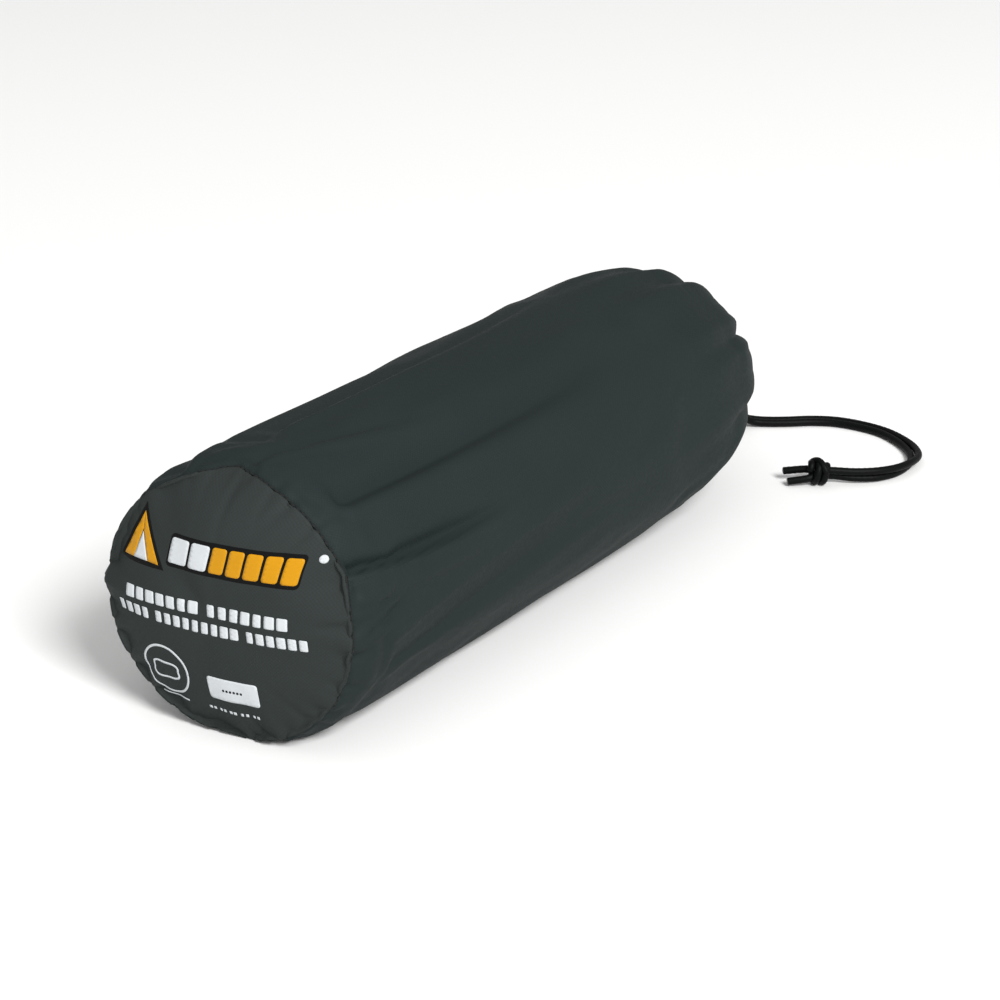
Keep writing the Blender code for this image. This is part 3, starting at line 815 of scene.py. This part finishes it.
def bodyHeight(angle, along):
    across = angle * place["bodyRadius"]
    total = np.zeros_like(angle + along)
    for fold in folds:
        total += foldHeight(fold, along, across)
    total += puckerHeight(angle, np.maximum(along, 0), 3)
    total += scallopHeight(angle, np.maximum(along, 0))
    total += pleatHeight(angle, along)
    long = smoothStep(0, 0.05, along) * (1 - smoothStep(0.33, 0.41, along))
    total += sack["rippleLong"] * long * waves(angle + 0.5 * along, 3, 5, 12)
    cross = waves(angle - 2.0 * along, 5, 9, 19)
    total += sack["rippleCross"] * long * cross * np.cos(along * 26 + 1.0)
    return total


def seamEdge(side):
    # The rings of a cloth at the base seam; side is 1 for the body, -1 for the base panel.
    rows = [(away, place["seamX"] + side * x, radius) for away, x, radius in sack["turnedIn"]]
    rows += [(away, place["seamX"] + side * x, place["baseRadius"] - drop)
             for away, x, drop in sack["edge"]]
    return rows


def bodyProfile():
    # (distance from the seam, X, radius) for every ring of the body's outer face.
    rows = seamEdge(1)
    along = sack["firstRow"]
    while along < place["bodyLength"]:
        rows.append((along, place["seamX"] + along, float(sackRadius(np.array(along)))))
        along += sack["closeRows"] + sack["wideRows"] * min(along / sack["wideFrom"], 1)
    steps = sack["domeRows"]
    reach = place["shoulderRadius"] - place["ringRadius"]
    for i in range(steps):
        # stops just short of a quarter turn, so that the last ring doesn't fold back
        turn = math.pi / 2 * (i / (steps - 1)) ** 0.9 * 0.985
        rows.append((place["bodyLength"] + place["mouthDepth"] * i / (steps - 1),
                     place["shoulderX"] + place["mouthDepth"] * math.sin(turn),
                     place["ringRadius"] + reach * math.cos(turn)))
    return rows


def casingProfile():
    # The gathered casing, going round the cord loop from its outer root to its inner one.
    rows = []
    steps = sack["casingRows"]
    radius = place["casingRadius"] + sack["casingEase"]
    for i in range(steps + 1):
        turn = math.radians(158 - 316 * i / steps)
        rows.append((place["bodyLength"] + place["mouthDepth"] + 0.001 * (i + 1),
                     place["ringX"] + radius * math.cos(turn),
                     place["ringRadius"] + radius * math.sin(turn)))
    return rows


def ringGrid(rows):
    # A grid of points from (distance, X, radius) rings, laid on the floor.
    away, x, radius = (np.array(column)[:, None] for column in zip(*rows))
    angle = wrapped((2 * math.pi * np.arange(sack["around"]) / sack["around"])[None, :])
    tube = np.stack([x + 0 * angle, radius * np.sin(angle),
                     place["axisHeight"] + radius * np.cos(angle)], -1)
    return away, angle, radius, lieOnFloor(tube)


def makeBodyGrid():
    rows = bodyProfile()
    away, angle, _, points = ringGrid(rows + casingProfile())
    points[..., 0] += seamShift(angle) * (1 - smoothStep(0, seamShape["bodyFade"], away))
    normal = gridNormals(points, len(rows) // 2, (0, 0, 1))
    height = bodyHeight(angle, away) * smoothStep(-0.001, 0.0012, away)
    last = len(rows)
    height[last:] = -(pleats["casingDepth"] * gatherRidge(angle))    # the casing's own tight gathers
    height[last - 3:last] = height[last - 3:last] * 0.7
    points = points + normal * height[..., None]
    points[..., 2] = np.maximum(points[..., 2], 0.0)
    return points, away[:, 0]


drape = {
    "frames": 12,
    "step": 2,                  # the simulated grid takes every second row and column
    "slack": 0.015,             # how much larger the cloth is cut than the roll's surface
    "inward": 0.0009,           # furthest a point may move; the roll lies just below
    "outward": 0.0014,
    "gripReach": 0.006,         # how far from either end the cloth is still held
    "quality": 5,
    "mass": 0.12,
    "tension": 30.0,
    "bending": 0.15,
    "airDamping": 4.0,
}


def drapeBody(points, away):
    # Cloth simulation of the body: a tube cut larger than the roll, held at the seam and the
    # mouth, so that the spare cloth buckles.
    step = drape["step"]
    rows = list(range(0, len(points), step))
    coarse = points[rows][:, ::step]
    count, around = coarse.shape[:2]
    faces = [(i * around + j, i * around + (j + 1) % around, (i + 1) * around + (j + 1) % around,
              (i + 1) * around + j) for i in range(count - 1) for j in range(around)]
    piece = linkObject("drapeGrid", meshFrom("drapeGrid", coarse.reshape(-1, 3), faces), [])
    held = piece.vertex_groups.new(name="held")
    for i, fromSeam in enumerate(away[rows]):
        fromMouth = place["bodyLength"] + place["mouthDepth"] - fromSeam
        grip = 1 - min(max(min(fromSeam, fromMouth) / drape["gripReach"], 0), 1)
        held.add(range(i * around, (i + 1) * around), grip, "REPLACE")
    cloth = piece.modifiers.new("drape", "CLOTH")
    settings = cloth.settings
    settings.quality = drape["quality"]
    settings.mass = drape["mass"]
    settings.tension_stiffness = drape["tension"]
    settings.compression_stiffness = drape["tension"]
    settings.shear_stiffness = drape["tension"] / 3
    settings.bending_stiffness = drape["bending"]
    settings.air_damping = drape["airDamping"]
    settings.vertex_group_mass = "held"
    settings.shrink_min = -drape["slack"]
    settings.effector_weights.gravity = 0.0
    cloth.collision_settings.use_collision = False
    cloth.point_cache.frame_start = 1
    cloth.point_cache.frame_end = drape["frames"]
    scene = bpy.context.scene
    for number in range(1, drape["frames"] + 1):
        scene.frame_set(number)
    made = piece.evaluated_get(bpy.context.evaluated_depsgraph_get()).to_mesh()
    after = np.array([tuple(v.co) for v in made.vertices]).reshape(coarse.shape)
    scene.frame_set(1)
    mesh = piece.data
    bpy.data.objects.remove(piece)
    bpy.data.meshes.remove(mesh)
    # the move along the normal, capped, spread back over the full grid and evened out a little
    normal = gridNormals(coarse, count // 2, (0, 0, 1))
    move = ((after - coarse) * normal).sum(-1)
    limit = np.where(move < 0, drape["inward"], drape["outward"])
    move = limit * np.tanh(move / limit)
    wide = np.concatenate([move, move[:, :1]], 1)
    columns = np.arange(points.shape[1]) / step
    wide = np.array([np.interp(columns, np.arange(wide.shape[1]), row) for row in wide])
    full = np.array([np.interp(np.arange(len(points)), rows, column) for column in wide.T]).T
    full = (2 * full + np.roll(full, 1, 1) + np.roll(full, -1, 1)) / 4
    full[1:-1] = (2 * full[1:-1] + full[:-2] + full[2:]) / 4
    print("drape moved the cloth by", round(float(np.abs(full).max()) * 1000, 2), "mm at most")
    return full


def gridMesh(name, points, along, capEnd=None):
    rows, around = points.shape[:2]
    faces, uv = [], []
    step = 2 * math.pi * place["bodyRadius"] / around
    for i in range(rows - 1):
        for j in range(around):
            k = (j + 1) % around
            faces.append((i * around + j, i * around + k, (i + 1) * around + k, (i + 1) * around + j))
            u0, u1 = step * j, step * (j + 1)
            uv += [(u0, along[i]), (u1, along[i]), (u1, along[i + 1]), (u0, along[i + 1])]
    verts = [*points.reshape(-1, 3)]
    if capEnd is not None:
        verts.append(capEnd)
        last = (rows - 1) * around
        for j in range(around):
            faces.append((last + j, last + (j + 1) % around, rows * around))
            uv += [(step * j, along[-1]), (step * (j + 1), along[-1]), (step * j, along[-1] + 0.001)]
    return meshFrom(name, verts, faces, uv)


def thicken(piece, thickness):
    solid = piece.modifiers.new("thickness", "SOLIDIFY")
    solid.thickness = thickness
    solid.offset = -1
    return applyModifiers(piece)


def pointsOut(mesh, inside):
    # True if most faces look away from a point inside.
    total = 0.0
    for polygon in mesh.polygons:
        total += polygon.normal.dot(polygon.center - inside) * polygon.area
    return total > 0


bodyPoints, bodyAlong = makeBodyGrid()
bodyNormals = gridNormals(bodyPoints, len(bodyPoints) // 2, (0, 0, 1))
bodyPoints = bodyPoints + bodyNormals * drapeBody(bodyPoints, bodyAlong)[..., None]
bodyPoints[..., 2] = np.maximum(bodyPoints[..., 2], 0.0)
bodyMesh = gridMesh("sackBodyCloth", bodyPoints, bodyAlong)
sackMiddle = Vector(((place["seamX"] + place["mouthX"]) / 2, 0, place["axisHeight"]))
if not pointsOut(bodyMesh, sackMiddle):
    bodyMesh.flip_normals()
sackBody = linkObject("sackBodyCloth", bodyMesh, [bodyCloth])
thicken(sackBody, sack["fabric"])
print("sack body made:", len(sackBody.data.polygons), "faces")


def makeBaseGrid():
    rows = seamEdge(-1)[:-1]
    # rings closer together near the seam, as shares of the panel's radius
    for share in [*np.linspace(0.992, 0.60, 34), *np.linspace(0.585, 0.012, 30)]:
        bulge = -0.0006 - (place["baseCrown"] - 0.0003) * (1 - share ** 3)
        rows.append((place["baseRadius"] * (1 - share), bulge + place["seamX"],
                     place["baseRadius"] * share))
    away, angle, radius, points = ringGrid(rows)
    climb = seamShift(angle)
    near = 1 - np.clip(away / seamShape["baseFade"], 0, 1)
    points[..., 0] += climb * near ** 2
    normal = gridNormals(points, 20, (-1, 0, 0))
    height = puckerHeight(angle, np.maximum(away, 0), 4) + scallopHeight(angle, np.maximum(away, 0))
    height = height + 0.5 * climb * near * (1 - near)
    fromMiddle = radius / place["baseRadius"]
    inward = smoothStep(0, 0.02, away) * smoothStep(0, 0.3, fromMiddle)
    height = height + 0.0006 * inward * waves(angle, 21, 3, 7)
    height = height * smoothStep(-0.001, 0.0012, away) * smoothStep(0.0, 0.25, fromMiddle)
    points = points + normal * height[..., None]
    points[..., 2] = np.maximum(points[..., 2], 0.0)
    return points, away[:, 0]


basePoints, baseAlong = makeBaseGrid()
baseTip = basePoints[-1].mean(0)
baseMesh = gridMesh("sackBaseCloth", basePoints, baseAlong, capEnd=baseTip)
if not pointsOut(baseMesh, sackMiddle):
    baseMesh.flip_normals()
# the base weave follows the cut disc, so its UVs are the flat Y and Z
baseUv = baseMesh.uv_layers["clothUV"].data
for loop in baseMesh.loops:
    spot = baseMesh.vertices[loop.vertex_index].co
    baseUv[loop.index].uv = (spot.y, spot.z)
sackBase = linkObject("sackBaseCloth", baseMesh, [baseCloth])
surfaceTree = BVHTree.FromPolygons([v.co.copy() for v in baseMesh.vertices],
                                   [tuple(p.vertices) for p in baseMesh.polygons])
thicken(sackBase, sack["fabric"])
print("sack base made:", len(sackBase.data.polygons), "faces")


# print on the base: Y and Z of each shape on the panel, seen from outside with +Y on the left

artwork = {
    "white": "#c2c6c9",
    "yellow": "#be8500",
    "black": "#010101",
    "outline": 0.0019,          # black border's width
    "blackLift": 0.00010,
    "colourLift": 0.00019,
    "film": 0.00008,
    "mesh": 0.0022,             # longest edge
    "wordGap": 0.55,            # between words, in blocks
}


def roundedBox(y, z, width, height, corner, slant=0.0, steps=4):
    points = []
    for cy, cz, start in ((1, 1, 0), (-1, 1, 90), (-1, -1, 180), (1, -1, 270)):
        for i in range(steps + 1):
            turn = math.radians(start + 90 * i / steps)
            py = cy * (width / 2 - corner) + corner * math.cos(turn)
            pz = cz * (height / 2 - corner) + corner * math.sin(turn)
            points.append((y + py + slant * pz, z + pz))
    return points


def ellipse(y, z, ry, rz, steps=40):
    return [(y + ry * math.cos(2 * math.pi * i / steps), z + rz * math.sin(2 * math.pi * i / steps))
            for i in range(steps)]


def ribbon(points, width):
    # A stroke of even width along a line, as one closed outline.
    left, right = [], []
    for i, (y, z) in enumerate(points):
        ahead = points[min(i + 1, len(points) - 1)]
        behind = points[max(i - 1, 0)]
        dy, dz = ahead[0] - behind[0], ahead[1] - behind[1]
        size = math.hypot(dy, dz) or 1
        left.append((y - dz / size * width / 2, z + dy / size * width / 2))
        right.append((y + dz / size * width / 2, z - dy / size * width / 2))
    return left + right[::-1]


def grown(outline, amount):
    # The same closed outline, pushed out by amount.
    area = sum(a[0] * b[1] - b[0] * a[1] for a, b in zip(outline, outline[1:] + outline[:1]))
    sign = 1 if area > 0 else -1
    result = []
    count = len(outline)
    for i, (y, z) in enumerate(outline):
        before, after = outline[i - 1], outline[(i + 1) % count]
        first = Vector((y - before[0], z - before[1])).normalized()
        second = Vector((after[0] - y, after[1] - z)).normalized()
        normal = Vector((first.y + second.y, -first.x - second.x))
        if normal.length < 1e-9:
            normal = Vector((first.y, -first.x))
        normal.normalize()
        spread = max(normal.dot(Vector((first.y, -first.x))), 0.45)
        result.append((y + sign * normal.x * amount / spread, z + sign * normal.y * amount / spread))
    return result


def printPiece(name, outlines, lift, material):
    shape = bmesh.new()
    for outline in outlines:
        verts = [shape.verts.new((0, y, z)) for y, z in outline]
        edges = [shape.edges.new((a, b)) for a, b in zip(verts, verts[1:] + verts[:1])]
        bmesh.ops.triangle_fill(shape, use_beauty=True, edges=edges)
    for _ in range(6):
        long = [e for e in shape.edges if e.calc_length() > artwork["mesh"]]
        if not long:
            break
        bmesh.ops.subdivide_edges(shape, edges=long, cuts=1)
        bmesh.ops.triangulate(shape, faces=[f for f in shape.faces if len(f.verts) > 3])
    for vert in shape.verts:
        hit, normal, _, _ = surfaceTree.ray_cast(Vector((-0.4, vert.co.y, vert.co.z)), Vector((1, 0, 0)))
        if hit is None:
            continue
        if normal.x > 0:
            normal = -normal
        vert.co = hit + normal * lift
    for face in shape.faces:
        face.normal_update()
        if face.normal.x > 0:
            face.normal_flip()
    mesh = bpy.data.meshes.new(name)
    shape.to_mesh(mesh)
    shape.free()
    return thicken(linkObject(name, mesh, [material]), artwork["film"])


def blockWords(start, end, z, height, words, gap, seed):
    # Rows of small blocks that stand in for words: a word is a run of blocks.
    draw = np.random.RandomState(seed)
    letters = sum(words)
    spaces = len(words) - 1
    pitch = (start - end) / (letters + artwork["wordGap"] * spaces)
    shapes = []
    y = start
    for i, count in enumerate(words):
        for _ in range(count):
            width = (pitch - gap) * draw.uniform(0.72, 1.0)
            shapes.append(roundedBox(y - pitch / 2, z, width, height, 0.10 * height, steps=2))
            y -= pitch
        y -= artwork["wordGap"] * pitch
    return shapes


def makePrint():
    white, yellow, black = [], [], []
    # emblem: a ridge tent
    tent = [(0.0522, 0.0852), (0.0405, 0.1078), (0.0296, 0.0852)]
    door = [(0.0452, 0.0856), (0.0405, 0.0985), (0.0362, 0.0856)]
    black.append(grown(tent, artwork["outline"]))
    flapTop = (0.0405, 0.0998)
    yellow += [[tent[0], tent[1], flapTop, door[0]], [tent[1], tent[2], door[2], flapTop]]
    white.append(door)
    # band of slanted blocks
    middle, height = 0.0944, 0.0128
    edges = [0.0236, 0.0120, 0.0008, -0.0080, -0.0168, -0.0256, -0.0344, -0.0432]
    for i, (a, b) in enumerate(zip(edges, edges[1:])):
        block = roundedBox((a + b) / 2, middle, a - b - 0.0013, height, 0.0014, slant=-0.22, steps=3)
        (white if i < 2 else yellow).append(block)
    band = roundedBox((edges[0] + edges[-1]) / 2, middle, edges[0] - edges[-1] + 0.0006,
                      height + 2 * artwork["outline"], 0.0022, slant=-0.22)
    black.append(band)
    white.append(ellipse(-0.0510, 0.1010, 0.0019, 0.0019, 20))
    # two rows of greeked words
    white += blockWords(0.0490, -0.0385, 0.0690, 0.0062, (7, 7), 0.0009, 4)
    white += blockWords(0.0560, -0.0475, 0.0596, 0.0058, (4, 9, 6), 0.0008, 9)
    # pillow sign in a ring
    ringY, ringZ, ringSize = 0.0297, 0.0312, 0.0130
    outer = []
    for i in range(61):
        turn = math.radians(6 * i)
        outer.append((ringY + ringSize * math.cos(turn), ringZ + ringSize * math.sin(turn)))
    white += [ribbon(outer[:31], 0.0012), ribbon(outer[30:], 0.0012)]
    cushion = []
    for i in range(49):
        turn = 2 * math.pi * i / 48
        pinch = 1 + 0.10 * math.cos(4 * turn + math.pi)
        cushion.append((ringY + 0.0080 * pinch * math.cos(turn),
                        ringZ + 0.0046 * pinch * math.sin(turn)))
    white += [ribbon(cushion[:25], 0.0011), ribbon(cushion[24:], 0.0011)]
    white.append(roundedBox(ringY - 0.0012, 0.0160, 0.0175, 0.0009, 0.0004, steps=2))
    # blank size label with a short rule on it
    white.append(roundedBox(-0.0078, 0.0287, 0.0262, 0.0122, 0.0014, slant=0.03))
    ruleMarks = [roundedBox(-0.0030 - 0.0018 * i, 0.0284, 0.0011, 0.0012, 0.0003, steps=2)
                 for i in range(6)]
    white += blockWords(0.0086, -0.0195, 0.0160, 0.0016, (2, 2, 2, 2, 2), 0.0006, 3)
    inkWhite = screenInk("plastisolWhite", artwork["white"])
    inkYellow = screenInk("plastisolYellow", artwork["yellow"])
    inkBlack = screenInk("plastisolBlack", artwork["black"], 0.85)
    return [printPiece("printBlack", black, artwork["blackLift"], inkBlack),
            printPiece("printYellow", yellow, artwork["colourLift"], inkYellow),
            printPiece("printWhite", white, artwork["colourLift"], inkWhite),
            printPiece("printMarks", ruleMarks, artwork["colourLift"] + 0.0001, inkBlack)]


printPieces = makePrint()
print("print made")


# stitches, repeated along a line with Geometry Nodes

stitch = {
    "seam": {"Pitch": 0.0034, "Stitch Length": 0.0030, "Thread Thickness": 0.0011},
    "casing": {"Pitch": 0.0022, "Stitch Length": 0.0018, "Thread Thickness": 0.0006},
    "seamRow": 5,               # ring of either cloth that the seam's thread lies between
    "casingRow": -3,            # ring from the mouth where the casing is sewn down
}


def stitchTree():
    tree = bpy.data.node_groups.new("stitchRow", "GeometryNodeTree")
    face = tree.interface
    face.new_socket("Geometry", in_out="INPUT", socket_type="NodeSocketGeometry")
    for label, size in stitch["seam"].items():
        face.new_socket(label, in_out="INPUT", socket_type="NodeSocketFloat").default_value = size
    face.new_socket("Thread", in_out="INPUT", socket_type="NodeSocketMaterial")
    face.new_socket("Geometry", in_out="OUTPUT", socket_type="NodeSocketGeometry")
    start = tree.nodes.new("NodeGroupInput")
    end = tree.nodes.new("NodeGroupOutput")
    curve = addNode(tree, "GeometryNodeMeshToCurve", links={0: (start, "Geometry")})
    rows = addNode(tree, "GeometryNodeResampleCurve", {"mode": "LENGTH"},
                   {"Curve": (curve, 0), "Length": (start, "Pitch")})
    bead = addNode(tree, "GeometryNodeMeshUVSphere", links={"Segments": 6, "Rings": 5, "Radius": 0.5})
    size = addNode(tree, "ShaderNodeCombineXYZ", links={"X": (start, "Thread Thickness"),
                                                        "Y": (start, "Thread Thickness"),
                                                        "Z": (start, "Stitch Length")})
    shaped = addNode(tree, "GeometryNodeTransform", links={"Geometry": (bead, 0), "Scale": (size, 0)})
    way = addNode(tree, "GeometryNodeInputTangent")
    turn = addNode(tree, "FunctionNodeAlignRotationToVector", {"axis": "Z"}, {"Vector": (way, 0)})
    placed = addNode(tree, "GeometryNodeInstanceOnPoints", links={"Points": (rows, 0),
                                                                  "Instance": (shaped, 0),
                                                                  "Rotation": (turn, 0)})
    real = addNode(tree, "GeometryNodeRealizeInstances", links={0: (placed, 0)})
    painted = addNode(tree, "GeometryNodeSetMaterial", links={"Geometry": (real, 0),
                                                              "Material": (start, "Thread")})
    tree.links.new(painted.outputs[0], end.inputs[0])
    return tree


stitchRow = stitchTree()


def stitchAlong(name, points, sizes):
    count = len(points)
    mesh = bpy.data.meshes.new(name)
    mesh.from_pydata([tuple(p) for p in points], [(i, (i + 1) % count) for i in range(count)], [])
    piece = linkObject(name, mesh, [])
    rows = piece.modifiers.new("stitches", "NODES")
    rows.node_group = stitchRow
    wanted = {**sizes, "Thread": threadAndSeamShade}
    for socket in stitchRow.interface.items_tree:
        if socket.in_out == "INPUT" and socket.name in wanted:
            rows[socket.identifier] = wanted[socket.name]
    return applyModifiers(piece)


# Real stitches, thick, near-black and close to the surface, so that they also paint the shade of the seam's
# groove.
seamLine = (bodyPoints[stitch["seamRow"]] + basePoints[stitch["seamRow"]]) / 2
seamStitches = stitchAlong("baseSeamStitches", seamLine, stitch["seam"])
casingLine = bodyPoints[len(bodyProfile()) + stitch["casingRow"]]
casingStitches = stitchAlong("casingStitches", casingLine, stitch["casing"])
print("stitches made")


# the rolled pillow inside, pressed in wherever the sack's folds press on it

roll = {
    "clearance": 0.0010,
    "innerShare": 0.45,         # of the radius: further in, nothing is pressed
    "fullShare": 0.95,
    "firstCut": 0.006,          # extra rings of points, so that the roll can follow the folds
    "cut": 0.008,
    "window": (-5, -2.5, 0, 2.5, 5),    # degrees to both sides that press on a spot
    "cornerReach": 0.030,       # near the seam it keeps clear of the climbing panel
    "cornerShare": 0.8,
    "tapeShare": 0.2,
}


def copyNode(node, name, material):
    # A CAD node's mesh as a piece of its own.
    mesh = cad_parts[node].data.copy()
    mesh.name = name
    mesh.materials.clear()
    return linkObject(name, mesh, [material])


def makeBinding():
    # The tape goes wherever the seam goes.
    piece = copyNode("base_seam_binding", "seamBindingTape", moulded("grosgrainTape", "#1d1f20", 0.8))
    for vert in piece.data.vertices:
        y, z = vert.co.y, vert.co.z - place["axisHeight"]
        angle = np.array(math.atan2(y, z))
        climb = float(seamShift(angle))
        pull = min(float(scallopHeight(angle, np.array(0.0))), 0) - roll["clearance"]
        share = 1 + (pull - roll["tapeShare"] * max(climb, 0)) / math.hypot(y, z)
        vert.co = (vert.co.x + climb, y * share, place["axisHeight"] + z * share)
    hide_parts("base_seam_binding")
    return piece


binding = makeBinding()


def makeRollPiece(node, name, material):
    shape = bmesh.new()
    shape.from_mesh(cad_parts[node].data)
    bmesh.ops.remove_doubles(shape, verts=shape.verts, dist=1e-6)
    for x in np.arange(place["seamX"] + roll["firstCut"], place["mouthX"], roll["cut"]):
        everything = shape.verts[:] + shape.edges[:] + shape.faces[:]
        bmesh.ops.bisect_plane(shape, geom=everything, plane_co=(x, 0, 0), plane_no=(1, 0, 0))
    bmesh.ops.triangulate(shape, faces=shape.faces[:])
    shape.verts.ensure_lookup_table()
    co = np.array([tuple(v.co) for v in shape.verts])
    angle = np.arctan2(co[:, 1], co[:, 2] - place["axisHeight"])
    lean = place["lean"] * co[:, 1] * np.clip(1 - (co[:, 0] - place["seamX"]) / place["leanReach"], 0, 1)
    along = co[:, 0] - place["seamX"] - lean
    radius = np.hypot(co[:, 1], co[:, 2] - place["axisHeight"])
    press = np.zeros_like(along)
    for turn in roll["window"]:
        press = np.minimum(press, bodyHeight(angle + math.radians(turn), along))
    press = press - roll["clearance"]
    corner = smoothStep(roll["cornerReach"], 0.0, along) * seamShift(angle) * roll["cornerShare"]
    outer = smoothStep(roll["innerShare"], roll["fullShare"], radius / place["bodyRadius"])
    press = (press - corner) * outer
    for vert, share in zip(shape.verts, 1 + press / np.maximum(radius, 0.004)):
        vert.co.y *= share
        vert.co.z = place["axisHeight"] + (vert.co.z - place["axisHeight"]) * share
    mesh = bpy.data.meshes.new(name)
    shape.to_mesh(mesh)
    shape.free()
    piece = linkObject(name, mesh, [material])
    mesh.set_sharp_from_angle(angle=math.radians(50))
    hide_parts(node)
    return piece


rollFoam = makeRollPiece("foam_core", "rolledFoam", moulded("openCellFoam", "#cfc7ab", 0.9, 1500.0))
rollTop = makeRollPiece("pillow_top_shell", "rolledTopFabric",
                        moulded("brushedPolyester", "#5d6163", 0.85, 2600.0))
rollUnder = makeRollPiece("pillow_under_shell", "rolledUnderFabric",
                          moulded("coatedPolyester", "#33393b", 0.6, 2600.0))
print("rolled pillow made")


# pieces on the bodies

soft = "packed_sack"
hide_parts("sack_body", "mouth_casing")
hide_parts("sack_base_panel")
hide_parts("drawcord_ring")
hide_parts("drawcord_strand_a")
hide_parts("drawcord_strand_b")
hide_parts("drawcord_knot")
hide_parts("drawcord_end_a")
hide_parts("drawcord_end_b")
for piece in [sackBody, sackBase, casingLoop, strands[0][0], strands[1][0], seamStitches,
              casingStitches, binding, rollFoam, rollTop, rollUnder, *knotPieces, *endPieces, *printPieces]:
    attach(piece, soft)


def makeSpring():
    wire = moulded("springWire", "#b9bcbf", 0.3, metallic=1.0)
    piece = copyNode("cord_lock_spring", "lockSpring", wire)
    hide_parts("cord_lock_spring")
    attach(piece, "cord_lock")
    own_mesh(piece)
    return piece


makeSpring()

cadFinish = {
    "cord_lock_barrel": moulded("acetalBarrel", "#141515", 0.38),
    "cord_lock_plunger": moulded("acetalButton", "#1c1d1e", 0.36),
    "valve_body": moulded("valveBody", "#131414", 0.4),
    "valve_cap": moulded("valveCap", "#171819", 0.4),
    "valve_seal": moulded("valveSealRubber", "#0c0c0c", 0.6),
}
for node, material in cadFinish.items():
    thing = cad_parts[node]
    thing.data.materials.clear()
    thing.data.materials.append(material)


# floor and light

studio = {
    "floor": "#f4f4f3",
    "floorHalf": 6,
    "floorDrop": 0.0002,
    "sky": 0.50,
    "aim": (0, 0, 0.06),
    # each light: place, size and power
    "keyLight": ((-2.2, -4.2, 4.0), 2.0, 430.0),
    "fillLight": ((-2.0, -0.2, 0.8), 1.2, 4.0),
    "topLight": ((0.0, 0.3, 2.2), 1.8, 3.0),
}


def makeStudio():
    mesh = bpy.data.meshes.new("floor")
    half = studio["floorHalf"]
    mesh.from_pydata([(-half, -half, 0), (half, -half, 0), (half, half, 0), (-half, half, 0)], [],
                     [(0, 1, 2, 3)])
    material, tree, output = emptyMaterial("paintedFloor")
    shader = addNode(tree, "ShaderNodeBsdfPrincipled", links={"Base Color": hexColour(studio["floor"]),
                                                              "Roughness": 0.9})
    tree.links.new(shader.outputs[0], output.inputs["Surface"])
    floor = linkObject("floor", mesh, [material])
    floor.location.z = -studio["floorDrop"]
    world = bpy.data.worlds.new("studioWorld")
    world.use_nodes = True
    background = world.node_tree.nodes["Background"]
    background.inputs["Color"].default_value = (1, 1, 1, 1)
    background.inputs["Strength"].default_value = studio["sky"]
    bpy.context.scene.world = world
    for name in ("keyLight", "fillLight", "topLight"):
        spot, size, power = studio[name]
        light = bpy.data.lights.new(name, "AREA")
        light.size = size
        light.energy = power
        lamp = bpy.data.objects.new(name, light)
        lamp.location = spot
        lamp.rotation_mode = "QUATERNION"
        lamp.rotation_quaternion = (Vector(studio["aim"]) - Vector(spot)).to_track_quat("-Z", "Y")
        bpy.context.scene.collection.objects.link(lamp)
    bpy.context.scene.view_settings.view_transform = "Standard"


makeStudio()
print("studio made")
